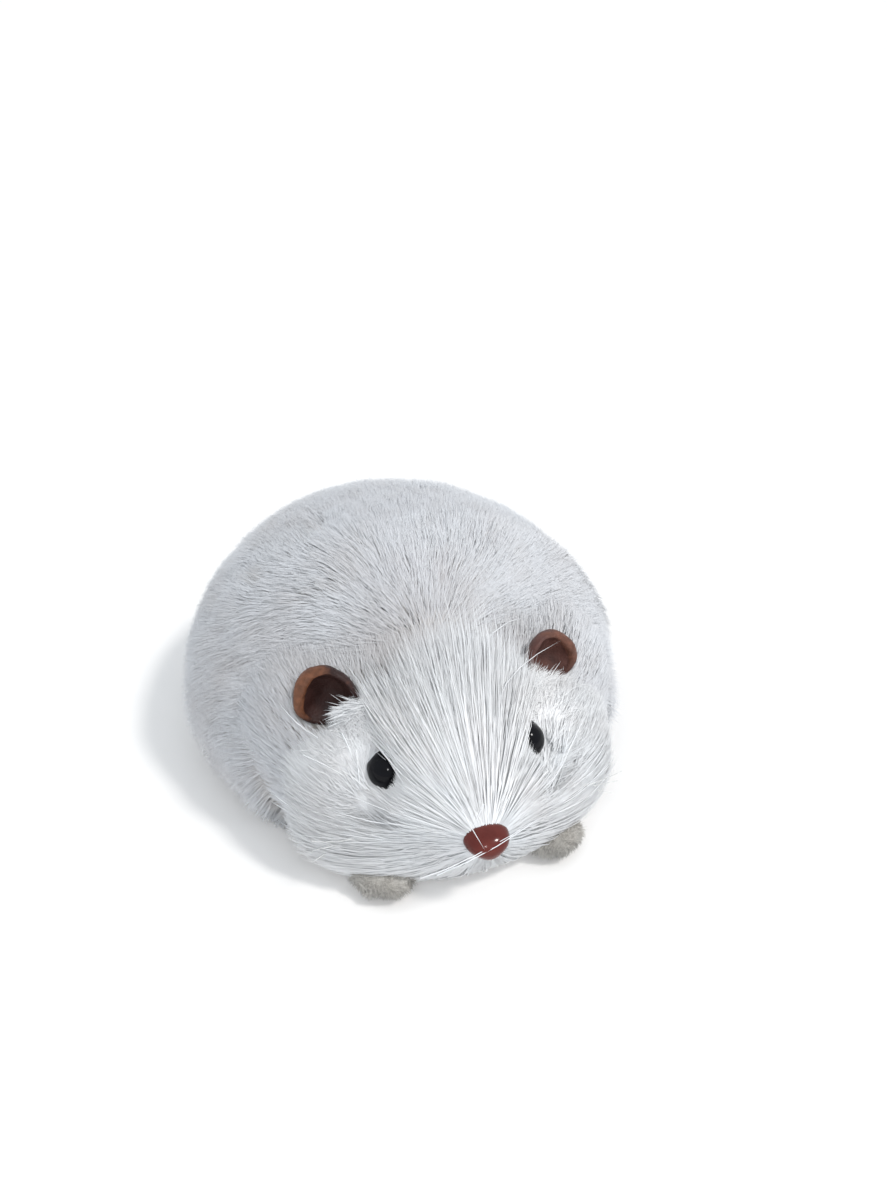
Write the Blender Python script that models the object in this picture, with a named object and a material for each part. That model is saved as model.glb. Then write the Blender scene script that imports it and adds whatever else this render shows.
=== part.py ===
"""A fur-covered clockwork mouse, built as the separate pieces it comes apart into.

The mouse faces -Y and stands on its wheels on the floor, z = 0. +X is its own left side, where the
winding key is. Sizes below are in millimetres, measured in the working frame, whose y = 0 is the widest
section of the body; the empty mouse_origin moves that frame so that the origin lies under the middle of
the overall length.
"""

import math

import bmesh
import bpy
from mathutils import Matrix, Vector

MM = 0.001  # the sizes below are millimetres, and Blender's unit is the metre

# Overall length: nose tip to tail tip.
NOSE_TIP_Y = -64.0
TAIL_TIP_Y = 100.0
ORIGIN_Y = (NOSE_TIP_Y + TAIL_TIP_Y) / 2

# The domed body: half-width, length behind and ahead of the widest section, height of the widest level.
BODY_HALF_WIDTH = 53.0
BODY_REAR = 65.6
BODY_FRONT = 78.0
FRONT_TAPER = 0.37
BODY_TOP = 55.7
WIDEST_Z = 12.5
FUR_BOTTOM_Z = 1.0
UNDERCUT = 0.12
SKIRT_LEVELS = (1.0, 5.0, 8.5)
NECK_DROP = 0.34
NECK_DROP_Y = 32.0

# The neck is a leaning plane, through these two points of the centre line (y, z).
NECK_LOW = (-34.0, 0.0)
NECK_HIGH = (-21.0, 45.0)

# Layers of the body, as distances inward from the fur's surface.
GAP = 0.3
PELT = 8.0
SHELL_OUT = PELT + 0.6
SHELL_WALL = 1.6
SHELL_IN = SHELL_OUT + SHELL_WALL
SHELL_BOTTOM_Z = 3.6

# Floor plate of the body and its screws.
PLATE_Z = 5.0
PLATE_T = 1.2
PLATE_INSET = SHELL_IN + 0.4
SLOT_END_ROOM = 1.0
WHEEL_ROOM = 0.7
ROLLER_ROOM = 0.8
BOSSES = {
    "front_left": (31.0, -14.0),
    "front_right": (-31.0, -14.0),
    "rear_left": (27.0, 34.0),
    "rear_right": (-27.0, 34.0),
}
BOSS_R = 3.2
SCREW_R = 0.9
SCREW_HEAD_R = 2.1
SCREW_HEAD_T = 1.1
SCREW_TOP_Z = 12.0
DRIVER_SLOT = (6.0, 0.6, 0.45)  # length, width and depth
SCREW_HOLE_R = SCREW_R + 0.5

# Clockwork: axes as (y, z), all parallel to X.
MODULE = 0.6
WHEEL_TEETH = 40
PINION_TEETH = 10
DRIVE_AXIS = (-10.0, 11.0)
INTERMEDIATE_AXIS = (2.0, 20.0)
ARBOR_AXIS = (17.0, 20.0)
ROLLER_AXIS = (40.0, 8.5)
PRESSURE_ANGLE = math.radians(25.0)
ADDENDUM = 0.8
DEDENDUM = 1.1
TOOTH_SHARE = 0.92  # of half the pitch, which leaves the backlash
GEAR_T = 1.2
GREAT_X = 1.2
INTERMEDIATE_X = 5.6
PINION_X = 0.5
PINION_T = 2.6

# Frame of the clockwork.
FRAME_X = 9.0
FRAME_T = 1.0
SHAFT_END = FRAME_X + FRAME_T + 0.6
FRAME_BOTTOM_Z = 6.6
PILLARS = {"front": (-13.5, 19.0), "middle": (9.5, 32.2), "rear": (24.0, 33.0), "spring": (31.5, 22.0)}
PILLAR_R = 1.5
PIVOT_R = 0.8
TABS = ((-2.0, 4.0), (24.0, 30.0))

# Shafts, wheels and roller.
ARBOR_R = 1.5
SHAFT_R = 1.0
AXLE_R = 1.2
SHAFT_BEVEL = 0.2
RUNNING = 0.1
FIXED = 0.2
TYRE_R = 11.0
HUB_R = 8.5
WHEEL_X = 15.0
WHEEL_W = 5.0
ROLLER_R = 8.5
ROLLER_W = 9.0

# Ratchet and click, in the plane of the great wheel around the arbor.
RATCHET_TEETH = 12
RATCHET_TIP = 5.0
RATCHET_ROOT = 3.9
RATCHET_FACE = 90.5
RATCHET_X = 3.0
CLICK_T = 1.0
CLICK_PIVOT = (-6.5, 6.2)
CLICK_BOSS_R = 1.6
SPRING_FOOT = (6.0, 7.8)

# Mainspring: turns, inner and outer radius of the coil, thickness, and where its width lies.
SPRING_COIL = (6.0, 2.2, 11.2)
SPRING_T = 0.45
SPRING_X = (-8.2, -1.8)

# Key, on the mouse's left side.
KEY_TIP_X = 53.0
KEY_WING_X = 44.9
KEY_HALF_SPAN = 9.0
KEY_T = 1.6
RECESS_R = 12.5
KEY_HUB_X = (44.6, 51.4)
KEY_HUB_R = 2.7
KEY_BORE_END_X = 47.4
KEY_HOLE_R = 1.6
BUSH_X = 39.0
BUSH_R = 3.0
BUSH_FLANGE_X = 43.7

# Head: sections of the face's fur as (y, half-width, top, bottom), and how far the core lies inside.
FACE = (
    (-12.0, 41.5, 45.5, 0.8),
    (-20.0, 41.0, 43.5, 0.8),
    (-28.0, 39.0, 39.5, 0.8),
    (-35.0, 36.0, 31.5, 0.8),
    (-41.0, 32.5, 26.5, 0.8),
    (-47.0, 26.5, 23.5, 1.2),
    (-52.0, 19.0, 22.0, 3.0),
    (-56.4, 10.0, 20.5, 6.5),
)
CORE = (
    (-8.0, 29.0, 34.0, 7.0),
    (-20.0, 28.5, 33.0, 7.0),
    (-28.0, 28.0, 30.0, 7.0),
    (-35.0, 27.0, 24.5, 7.0),
    (-41.0, 24.0, 19.5, 7.0),
    (-47.0, 19.0, 17.5, 7.2),
    (-52.0, 11.5, 16.5, 8.5),
    (-54.0, 6.5, 15.5, 10.0),
)
FACE_POWER = 2.3
SWATCH_GAP = 0.4
SWATCH_SECTORS = {
    "face_fur_forehead": (40.0, 140.0),
    "face_fur_cheek_right": (140.0, 270.0),
    "face_fur_cheek_left": (-90.0, 40.0),
}
HEAD_SCREW_RISE = 14.0
EYE_AT = (15.1, -41.2, 22.8)
EYE_FACING = (0.35, -0.80, 0.48)
EYE_R = 4.0
EAR_AT = (24.7, -30.7, 35.7)
EAR_UP = (0.45, 0.10, 0.88)
EAR_FACING = (0.28, -0.90, 0.10)
EAR_R = 6.8
EAR_T = 1.3
EAR_DEPTH = 3.2
EAR_LIP = 0.9
EAR_STEM = 16.5
NOSE_Y = (-64.0, -56.9)
NOSE_Z = 16.0
NOSE_HALF = (4.6, 3.9)
NOSE_HOLE_R = 1.6
NOSE_HOLE_END_Y = -51.4
PAW_AT = (18.4, -49.8)
PAW_HALF = (6.8, 6.6, 3.1)
PAW_Z = 3.7
# Each strand: its y and z, and how far its ends rise
WHISKERS = {"upper": (-50.2, 15.0, 3.5), "middle": (-48.6, 12.6, 1.5), "lower": (-47.0, 10.2, -1.2)}
WHISKER_STRAIGHT = 26.0
WHISKER_REACH = 7.0
WHISKER_FORWARD = 1.5
WHISKER_R = 0.35
WHISKER_BORE = 0.8

# Tail: centre line as (y, z) from the tab on the shell to the tip, with half-width and half-thickness.
TAIL = (
    (58.6, 12.0, 3.0, 0.8),
    (58.5, 7.5, 3.0, 0.8),
    (60.0, 3.8, 3.0, 0.9),
    (64.0, 2.0, 2.9, 0.9),
    (72.0, 1.8, 2.5, 0.9),
    (82.0, 1.7, 2.0, 0.9),
    (92.0, 1.6, 1.4, 0.8),
    (TAIL_TIP_Y, 1.5, 0.7, 0.6),
)
TAIL_SWEEP = 5.0
TAIL_RIVET_Y = 53.8
TAIL_RIVET_Z = 9.6
TAIL_RIVET_R = 0.8
TAIL_RIVET_HEAD_R = 1.7
TAIL_RIVET_GRIP = (0.0, 5.9)

SHAFT_SIDES = 16
BODY_SIDES = 28
FACE_SIDES = 20


# Scene and materials


def clear_scene():
    for item in list(bpy.data.objects):
        bpy.data.objects.remove(item)


def finish(name, colour, roughness, metallic=0.0):
    material = bpy.data.materials.new(name)
    material.use_nodes = True
    shader = material.node_tree.nodes["Principled BSDF"]
    shader.inputs["Base Color"].default_value = (*colour, 1.0)
    shader.inputs["Roughness"].default_value = roughness
    shader.inputs["Metallic"].default_value = metallic
    return material


def make_materials():
    return {
        "fur": finish("white_fur", (0.78, 0.79, 0.82), 0.9),
        "bristle": finish("face_bristle", (0.88, 0.89, 0.90), 0.6),
        "plush": finish("grey_plush", (0.42, 0.41, 0.39), 0.95),
        "leather": finish("brown_leather", (0.18, 0.06, 0.04), 0.5),
        "eye": finish("black_glass", (0.01, 0.01, 0.01), 0.05),
        "nose": finish("nose_brown", (0.22, 0.04, 0.03), 0.2),
        "nylon": finish("whisker_nylon", (0.9, 0.9, 0.9), 0.3),
        "wood": finish("head_wood", (0.55, 0.40, 0.25), 0.7),
        "tin": finish("tinplate", (0.55, 0.56, 0.57), 0.35, 0.9),
        "shell": finish("shell_paint", (0.60, 0.59, 0.56), 0.5),
        "brass": finish("brass", (0.70, 0.52, 0.22), 0.3, 1.0),
        "steel": finish("steel", (0.50, 0.50, 0.52), 0.3, 1.0),
        "spring": finish("blued_spring", (0.10, 0.11, 0.16), 0.3, 1.0),
        "rubber": finish("black_rubber", (0.03, 0.03, 0.03), 0.8),
    }


def empty(name, location, parent=None):
    axis = bpy.data.objects.new(name, None)
    axis.location = Vector(location) * MM
    axis.parent = parent
    bpy.context.scene.collection.objects.link(axis)
    return axis


# Meshes from plain geometry


def as_object(name, bm, material, parent, matrix=None):
    """Closes a bmesh made in millimetres into an object whose faces point outward."""
    bmesh.ops.remove_doubles(bm, verts=bm.verts, dist=1e-5)
    bmesh.ops.recalc_face_normals(bm, faces=bm.faces)
    bmesh.ops.transform(bm, matrix=Matrix.Scale(MM, 4), verts=bm.verts)
    mesh = bpy.data.meshes.new(name)
    bm.to_mesh(mesh)
    bm.free()
    mesh.shade_smooth()
    mesh.set_sharp_from_angle(angle=math.radians(35.0))
    thing = bpy.data.objects.new(name, mesh)
    if material is not None:
        mesh.materials.append(material)
    thing.parent = parent
    if matrix is not None:
        thing.matrix_local = matrix
    bpy.context.scene.collection.objects.link(thing)
    return thing


def circle(centre, radius, sides, turn=0.0):
    steps = [turn + math.tau * i / sides for i in range(sides)]
    return [(centre[0] + radius * math.cos(a), centre[1] + radius * math.sin(a)) for a in steps]


def prism(outlines, low, high, along="X"):
    """A flat plate: the first outline is its edge and the others are holes, in (y, z) or (x, y)."""
    place = {"X": lambda u, v, w: (w, u, v), "Z": lambda u, v, w: (u, v, w)}[along]
    bm = bmesh.new()
    for outline in outlines:
        ring = [bm.verts.new(place(u, v, low)) for u, v in outline]
        for i, vert in enumerate(ring):
            bm.edges.new((vert, ring[(i + 1) % len(ring)]))
    bmesh.ops.triangle_fill(bm, use_beauty=True, use_dissolve=False, edges=bm.edges[:])
    grown = bmesh.ops.extrude_face_region(bm, geom=bm.faces[:] + bm.edges[:] + bm.verts[:])
    moved = [item for item in grown["geom"] if isinstance(item, bmesh.types.BMVert)]
    lift = Vector(place(0.0, 0.0, high)) - Vector(place(0.0, 0.0, low))
    bmesh.ops.translate(bm, verts=moved, vec=lift)
    return bm


def loft(rings, cap=True):
    """A skin of triangles over closed rings of equal length. Nested skins bend along the same edges."""
    bm = bmesh.new()
    made = [[bm.verts.new(point) for point in ring] for ring in rings]
    for first, second in zip(made, made[1:]):
        for i in range(len(first)):
            j = (i + 1) % len(first)
            bm.faces.new((first[i], first[j], second[j]))
            bm.faces.new((first[i], second[j], second[i]))
    if cap:
        bm.faces.new(made[0])
        bm.faces.new(made[-1])
    return bm


def turned(profile, sides, axis="X", bored=False, turn=0.0):
    """A turned piece from (along, radius) points. A bored profile closes on itself around its bore."""
    bm = bmesh.new()
    bare = {"X": lambda w, a, b: (w, a, b), "Z": lambda w, a, b: (a, b, w)}[axis]
    rings = []
    for along, radius in profile:
        spots = circle((0.0, 0.0), radius, sides, turn) if radius > 0.0 else [(0.0, 0.0)]
        rings.append([bm.verts.new(bare(along, a, b)) for a, b in spots])
    pairs = list(zip(rings, rings[1:]))
    if bored:
        pairs.append((rings[-1], rings[0]))
    for first, second in pairs:
        if len(first) == 1 and len(second) == 1:
            continue
        for i in range(sides):
            corners = []
            for ring, spot in ((first, i), (first, i + 1), (second, i + 1), (second, i)):
                corners.append(ring[spot % len(ring)])
            bm.faces.new(dict.fromkeys(corners))
    return bm


def block(low, high):
    bm = bmesh.new()
    bmesh.ops.create_cube(bm, size=1.0)
    size = Vector(high) - Vector(low)
    middle = (Vector(high) + Vector(low)) / 2
    for vert in bm.verts:
        vert.co = Vector((vert.co.x * size.x, vert.co.y * size.y, vert.co.z * size.z)) + middle
    return bm


def cut(target, tool, operation="DIFFERENCE"):
    """Cuts the target with a tool object, which stays as a hidden cutter."""
    tool.hide_render = True
    tool.display_type = "WIRE"
    modifier = target.modifiers.new(tool.name, "BOOLEAN")
    modifier.operation = operation
    modifier.solver = "EXACT"
    modifier.object = tool


def frame_towards(at, facing, up):
    """A matrix whose Z axis looks along facing and whose Y axis leans to up, for turned pieces."""
    z = Vector(facing).normalized()
    x = Vector(up).cross(z).normalized()
    y = z.cross(x)
    turn = Matrix((x, y, z)).transposed().to_4x4()
    return Matrix.Translation(Vector(at) * MM) @ turn


def mirrored(point, side):
    return (point[0] * side, point[1], point[2])


# The neck plane


def neck_frame():
    lean = math.atan2(NECK_HIGH[0] - NECK_LOW[0], NECK_HIGH[1] - NECK_LOW[1])
    place = Matrix.Translation(Vector((0.0, NECK_LOW[0], NECK_LOW[1])) * MM)
    return place @ Matrix.Rotation(-lean, 4, "X")


def neck_block(name, parent, offset, front):
    """A block that ends on the neck plane moved back by offset: all that lies before it, or behind it."""
    y = (-90.0, offset) if front else (offset, 90.0)
    return as_object(name, block((-90.0, y[0], -40.0), (90.0, y[1], 90.0)), None, parent, neck_frame())


# The body's dome


def plan_point(angle, inset):
    """A point of the body's widest outline, moved inward by inset."""
    across = (BODY_HALF_WIDTH - inset) * math.cos(angle)
    along = math.sin(angle)
    if along >= 0.0:
        return across, (BODY_REAR - inset) * along
    return across * (1.0 + FRONT_TAPER * along), (BODY_FRONT - inset) * along


def dome_point(angle, rise, inset):
    """A point above the widest level. The dome sinks to the neck alike for every inset."""
    x, y = plan_point(angle, inset)
    ahead = max(0.0, -plan_point(angle, 0.0)[1] * math.cos(rise))
    share = min(1.0, ahead / NECK_DROP_Y)
    drop = 1.0 - NECK_DROP * share**2 * (3.0 - 2.0 * share)
    height = (BODY_TOP - inset - WIDEST_Z) * math.sin(rise) * drop
    return x * math.cos(rise), y * math.cos(rise), WIDEST_Z + height


def skirt_point(angle, z, inset):
    x, y = plan_point(angle, inset)
    below = WIDEST_Z - max(z, FUR_BOTTOM_Z)
    shrink = 1.0 - UNDERCUT * (below / WIDEST_Z) ** 1.6
    return x * shrink, y * shrink, z


def dome_rings(inset, bottom, levels=7):
    angles = [math.tau * i / BODY_SIDES for i in range(BODY_SIDES)]
    skirt = [bottom] + [z for z in SKIRT_LEVELS if z > bottom + 0.5]
    rings = [[skirt_point(a, z, inset) for a in angles] for z in skirt]
    for level in range(levels):
        rise = math.pi / 2 * level / levels
        rings.append([dome_point(a, rise, inset) for a in angles])
    return rings


def dome(name, inset, bottom, material, parent):
    rings = dome_rings(inset, bottom)
    bm = loft(rings, cap=False)
    bm.verts.ensure_lookup_table()
    count = len(rings[0])
    first, last = bm.verts[:count], bm.verts[-count:]
    bm.faces.new(first)
    top = bm.verts.new((0.0, 0.0, BODY_TOP - inset))
    for i in range(count):
        bm.faces.new((last[i], last[(i + 1) % count], top))
    return as_object(name, bm, material, parent)


def rod_cutter(name, parent, radius, x, axis, sides=SHAFT_SIDES):
    """A cutter along X, from x[0] to x[1], around the (y, z) axis."""
    return as_object(name, prism([circle(axis, radius, sides)], x[0], x[1]), None, parent)


def post_cutter(name, parent, radius, z, at, sides=SHAFT_SIDES):
    return as_object(name, prism([circle(at, radius, sides)], z[0], z[1], "Z"), None, parent)


def make_pelt(root, mat):
    pelt = dome("body_fur", 0.0, FUR_BOTTOM_Z, mat["fur"], root)
    cut(pelt, dome("pelt_inside", PELT, -10.0, None, root))
    cut(pelt, neck_block("pelt_neck", root, 0.0, True))
    cut(pelt, rod_cutter("key_recess", root, RECESS_R, (30.0, 70.0), ARBOR_AXIS, 28))
    pocket = [(50.0, -5.0), (75.0, -5.0), (75.0, 4.4), (61.2, 4.4), (61.2, 13.0), (50.0, 13.0)]
    cut(pelt, as_object("tail_pocket", prism([pocket], -3.6, 3.6), None, root))


def make_shell(root, mat):
    """The pressed shell under the pelt, open below, with a post for each screw of the floor plate."""
    shell = dome("body_shell", SHELL_OUT, SHELL_BOTTOM_Z, mat["shell"], root)
    cut(shell, neck_block("shell_front", root, 1.0, True))
    hollow = dome("shell_hollow", SHELL_IN, -10.0, None, root)
    cut(hollow, neck_block("hollow_front", root, 1.0 + SHELL_WALL, True))
    post_bottom = PLATE_Z + PLATE_T + GAP
    for where, at in BOSSES.items():
        cut(hollow, post_cutter("post_" + where, root, BOSS_R, (post_bottom, 60.0), at, 10))
    cut(shell, hollow)
    for where, at in BOSSES.items():
        cut(shell, post_cutter("pilot_" + where, root, SCREW_R + GAP, (0.0, 13.0), at, 8))
    cut(shell, rod_cutter("bush_hole", root, 3.3, (30.0, 60.0), ARBOR_AXIS))
    rivet = frame_towards((0.0, 50.0, TAIL_RIVET_Z), (0.0, 1.0, 0.0), (0.0, 0.0, 1.0))
    hole = turned([(0.0, 0.0), (0.0, 1.1), (14.0, 1.1), (14.0, 0.0)], 12, "Z", turn=0.2)
    cut(shell, as_object("rivet_hole", hole, None, root, rivet))
    cut(shell, as_object("head_screw_hole", neck_rod(1.5, -5.0, 12.0), None, root, head_screw_frame()))


# Floor plate


def plate_outline():
    """The body's outline at the floor plate, with its front cut straight ahead of the neck."""
    front = NECK_LOW[0] + 6.0
    points = []
    for i in range(BODY_SIDES):
        x, y, _ = skirt_point(math.tau * i / BODY_SIDES, PLATE_Z, PLATE_INSET)
        if y > front:
            points.append((x, y))
    return points


def slot(x_low, x_high, y_low, y_high):
    return [(x_low, y_low), (x_high, y_low), (x_high, y_high), (x_low, y_high)]


def chord(radius, axle_z, z):
    return math.sqrt(radius**2 - (axle_z - z) ** 2)


def make_floor_plate(root, mat):
    plate_top = PLATE_Z + PLATE_T
    wheel_reach = chord(TYRE_R, DRIVE_AXIS[1], plate_top) + SLOT_END_ROOM
    roller_reach = chord(ROLLER_R, ROLLER_AXIS[1], plate_top) + SLOT_END_ROOM
    half = WHEEL_W / 2 + WHEEL_ROOM
    holes = []
    for side in (-1.0, 1.0):
        x = sorted((side * (WHEEL_X - half), side * (WHEEL_X + half)))
        holes.append(slot(x[0], x[1], DRIVE_AXIS[0] - wheel_reach, DRIVE_AXIS[0] + wheel_reach))
        for tab in TABS:
            x = sorted((side * (FRAME_X - GAP), side * (FRAME_X + FRAME_T + GAP)))
            holes.append(slot(x[0], x[1], tab[0] - GAP, tab[1] + GAP))
    half = ROLLER_W / 2 + ROLLER_ROOM
    holes.append(slot(-half, half, ROLLER_AXIS[0] - roller_reach, ROLLER_AXIS[0] + roller_reach))
    for at in BOSSES.values():
        holes.append(circle(at, SCREW_HOLE_R, 8))
    as_object("base_plate", prism([plate_outline()] + holes, PLATE_Z, plate_top, "Z"), mat["tin"], root)


def make_base_screws(root, mat):
    seat = PLATE_Z - GAP
    low = seat - SCREW_HEAD_T
    profile = [(low, 0.0), (low, SCREW_HEAD_R - 0.6), (low + 0.6, SCREW_HEAD_R), (seat, SCREW_HEAD_R)]
    profile += [(seat, SCREW_R), (SCREW_TOP_Z, SCREW_R), (SCREW_TOP_Z + 0.6, 0.0)]
    length, width, depth = DRIVER_SLOT
    for where, at in BOSSES.items():
        screw = as_object("base_screw_" + where, turned(profile, 10, "Z"), mat["steel"], root)
        screw.location = Vector((at[0], at[1], 0.0)) * MM
        groove = block((-length / 2, -width / 2, 0.0), (length / 2, width / 2, low + depth))
        driver = as_object("driver_slot_" + where, groove, None, root)
        driver.location = screw.location
        cut(screw, driver)


# Clockwork frame


def frame_outline():
    return [
        (-18.0, FRAME_BOTTOM_Z),
        (TABS[0][0], FRAME_BOTTOM_Z),
        (TABS[0][0], PLATE_Z - 0.8),
        (TABS[0][1], PLATE_Z - 0.8),
        (TABS[0][1], FRAME_BOTTOM_Z),
        (TABS[1][0], FRAME_BOTTOM_Z),
        (TABS[1][0], PLATE_Z - 0.8),
        (TABS[1][1], PLATE_Z - 0.8),
        (TABS[1][1], FRAME_BOTTOM_Z),
        (46.0, FRAME_BOTTOM_Z),
        (46.0, 13.0),
        (37.0, 19.0),
        (34.5, 26.0),
        (28.0, 35.5),
        (5.0, 35.5),
        (-10.0, 27.5),
        (-18.0, 22.5),
    ]


def make_frame(root, mat):
    holes = [
        circle(DRIVE_AXIS, AXLE_R + RUNNING, SHAFT_SIDES),
        circle(INTERMEDIATE_AXIS, SHAFT_R + RUNNING, SHAFT_SIDES),
        circle(ARBOR_AXIS, ARBOR_R + RUNNING, SHAFT_SIDES),
        circle(ROLLER_AXIS, SHAFT_R + RUNNING, SHAFT_SIDES),
    ]
    holes += [circle(at, PIVOT_R + GAP, 8) for at in PILLARS.values()]
    for side, name in ((1.0, "frame_plate_left"), (-1.0, "frame_plate_right")):
        x = sorted((side * FRAME_X, side * (FRAME_X + FRAME_T)))
        as_object(name, prism([frame_outline()] + holes, x[0], x[1]), mat["brass"], root)
    inside = FRAME_X - GAP
    outside = FRAME_X + FRAME_T + 0.5
    profile = [(-outside, 0.0), (-outside, PIVOT_R), (-inside, PIVOT_R), (-inside, PILLAR_R)]
    profile += [(inside, PILLAR_R), (inside, PIVOT_R), (outside, PIVOT_R), (outside, 0.0)]
    for where, at in PILLARS.items():
        pillar = as_object("pillar_" + where, turned(profile, 8), mat["steel"], root)
        pillar.location = Vector((0.0, at[0], at[1])) * MM


# Gears, ratchet and click


def involute(angle):
    return math.tan(angle) - angle


def gear_outline(teeth, phase):
    """Outline of an involute gear, with one tooth centred on the phase angle."""
    pitch_r = MODULE * teeth / 2
    base_r = pitch_r * math.cos(PRESSURE_ANGLE)
    tip_r = pitch_r + ADDENDUM * MODULE
    root_r = pitch_r - DEDENDUM * MODULE
    start_r = max(base_r, root_r)
    half_pitch = math.pi / (2 * teeth) * TOOTH_SHARE + involute(PRESSURE_ANGLE)
    flank = [(root_r, half_pitch - involute(math.acos(min(1.0, base_r / start_r))))]
    for share in (0.0, 1.0):
        radius = start_r + (tip_r - start_r) * share
        flank.append((radius, half_pitch - involute(math.acos(base_r / radius))))
    if start_r == root_r:
        flank = flank[1:]
    points = []
    for tooth in range(teeth):
        centre = phase + math.tau * tooth / teeth
        sides = [(r, centre - half) for r, half in flank] + [(r, centre + half) for r, half in flank[::-1]]
        points += [(r * math.cos(a), r * math.sin(a)) for r, a in sides]
    return points


def gear(name, teeth, phase, x, thickness, bore, material, parent, extra=()):
    outlines = [gear_outline(teeth, phase), circle((0.0, 0.0), bore, SHAFT_SIDES), *extra]
    return as_object(name, prism(outlines, x, x + thickness), material, parent)


def direction(start, end):
    return math.atan2(end[1] - start[1], end[0] - start[0])


def shaft(name, radius, low, high, material, parent):
    end = [(low, 0.0), (low, radius - SHAFT_BEVEL), (low + SHAFT_BEVEL, radius)]
    other = [(high - SHAFT_BEVEL, radius), (high, radius - SHAFT_BEVEL), (high, 0.0)]
    return as_object(name, turned(end + other, SHAFT_SIDES), material, parent)


def ratchet_outline():
    points = []
    step = math.tau / RATCHET_TEETH
    for tooth in range(RATCHET_TEETH):
        face = math.radians(RATCHET_FACE) + tooth * step
        points += [(RATCHET_TIP * math.cos(face), RATCHET_TIP * math.sin(face))]
        points += [(RATCHET_ROOT * math.cos(face), RATCHET_ROOT * math.sin(face))]
        middle = face + step / 2
        radius = (RATCHET_TIP + RATCHET_ROOT) / 2 + 0.05
        points += [(radius * math.cos(middle), radius * math.sin(middle))]
    return points


def click_outline():
    """The pawl, lifted just clear of the ratchet, around its own pivot: boss, arm and square nose."""
    boss = [math.radians(a) for a in (20, 60, 100, 140, 180, 220, 260, 300)]
    arm = [(CLICK_BOSS_R * math.cos(a), CLICK_BOSS_R * math.sin(a)) for a in boss]
    return arm + [(2.4, -0.95), (6.35, -1.06), (6.35, 0.0), (5.0, 0.35)]


def rivet(name, at, x, radius, material, parent):
    """A rivet through the great wheel, with a head over the piece that it holds."""
    low, high = x
    head = radius + 0.35
    profile = [(low, 0.0), (low, head), (GREAT_X - GAP, head), (GREAT_X - GAP, radius)]
    profile += [(high - 0.5, radius), (high - 0.5, head), (high, head), (high, 0.0)]
    piece = as_object(name, turned(profile, 8), material, parent)
    piece.location = Vector((0.0, at[0], at[1])) * MM
    return piece


def click_spring_outline():
    """A leaf from its round foot over the click's back, around the arbor."""
    foot = []
    for degrees in range(200, 521, 40):
        angle = math.radians(degrees)
        foot.append((SPRING_FOOT[0] + 1.2 * math.cos(angle), SPRING_FOOT[1] + 1.2 * math.sin(angle)))
    return foot + [(0.5, 7.75), (-3.2, 7.75), (-3.2, 7.4), (0.5, 7.35)]


def make_great_wheel(axis, mat):
    rivets = [circle(at, 0.9, 8) for at in (CLICK_PIVOT, SPRING_FOOT)]
    phase = direction(ARBOR_AXIS, INTERMEDIATE_AXIS)
    bore = ARBOR_R + RUNNING
    gear("great_wheel", WHEEL_TEETH, phase, GREAT_X, GEAR_T, bore, mat["brass"], axis, rivets)
    click_top = RATCHET_X + CLICK_T
    rivet("click_rivet", CLICK_PIVOT, (GREAT_X - 0.7, click_top + 0.7), 0.6, mat["steel"], axis)
    rivet("click_spring_rivet", SPRING_FOOT, (GREAT_X - 0.7, click_top + 0.7), 0.6, mat["steel"], axis)
    outlines = [click_spring_outline(), circle(SPRING_FOOT, 0.8, 8)]
    as_object("click_spring", prism(outlines, RATCHET_X, click_top), mat["spring"], axis)
    pivot = empty("click_axis", (0.0, *CLICK_PIVOT), axis)
    outlines = [click_outline(), circle((0.0, 0.0), 0.6 + RUNNING + 0.05, 8)]
    as_object("click", prism(outlines, RATCHET_X, click_top), mat["steel"], pivot)


def make_arbor(axis, mat):
    shaft("winding_arbor", ARBOR_R, -FRAME_X - FRAME_T - 0.8, 47.0, mat["steel"], axis)
    outlines = [ratchet_outline(), circle((0.0, 0.0), ARBOR_R + FIXED, SHAFT_SIDES)]
    as_object("ratchet_wheel", prism(outlines, RATCHET_X, RATCHET_X + GEAR_T), mat["brass"], axis)


def make_key(axis, mat):
    """A wing key: a hub screwed on the arbor's end and two flat lobes, level at rest."""
    bore = ARBOR_R + FIXED
    low, high = KEY_HUB_X
    profile = [(low, bore), (low, KEY_HUB_R), (high - 0.8, KEY_HUB_R), (high, KEY_HUB_R - 0.7), (high, 0.0)]
    profile += [(KEY_BORE_END_X, 0.0), (KEY_BORE_END_X, bore)]
    key = as_object("key", turned(profile, SHAFT_SIDES, bored=True), mat["brass"], axis)
    middle = (KEY_WING_X + KEY_TIP_X) / 2
    lobe = (KEY_TIP_X - KEY_WING_X) / 2
    wing = []
    for side in (1.0, -1.0):
        centre = side * (KEY_HALF_SPAN - lobe)
        for step in range(13):
            angle = math.radians(-100.0 + 200.0 * step / 12)
            wing.append((middle + lobe * math.sin(angle) * side, centre + lobe * math.cos(angle) * side))
    finger_holes = [circle((middle, side * (KEY_HALF_SPAN - lobe)), KEY_HOLE_R, 12) for side in (1.0, -1.0)]
    flat = as_object("key_wings", prism([wing] + finger_holes, -KEY_T / 2, KEY_T / 2, "Z"), mat["brass"], axis)
    inside = [(40.0, 0.0), (40.0, bore), (KEY_BORE_END_X, bore), (KEY_BORE_END_X, 0.0)]
    cut(flat, as_object("key_bore", turned(inside, SHAFT_SIDES), None, axis))
    cut(key, flat, "UNION")


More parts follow.
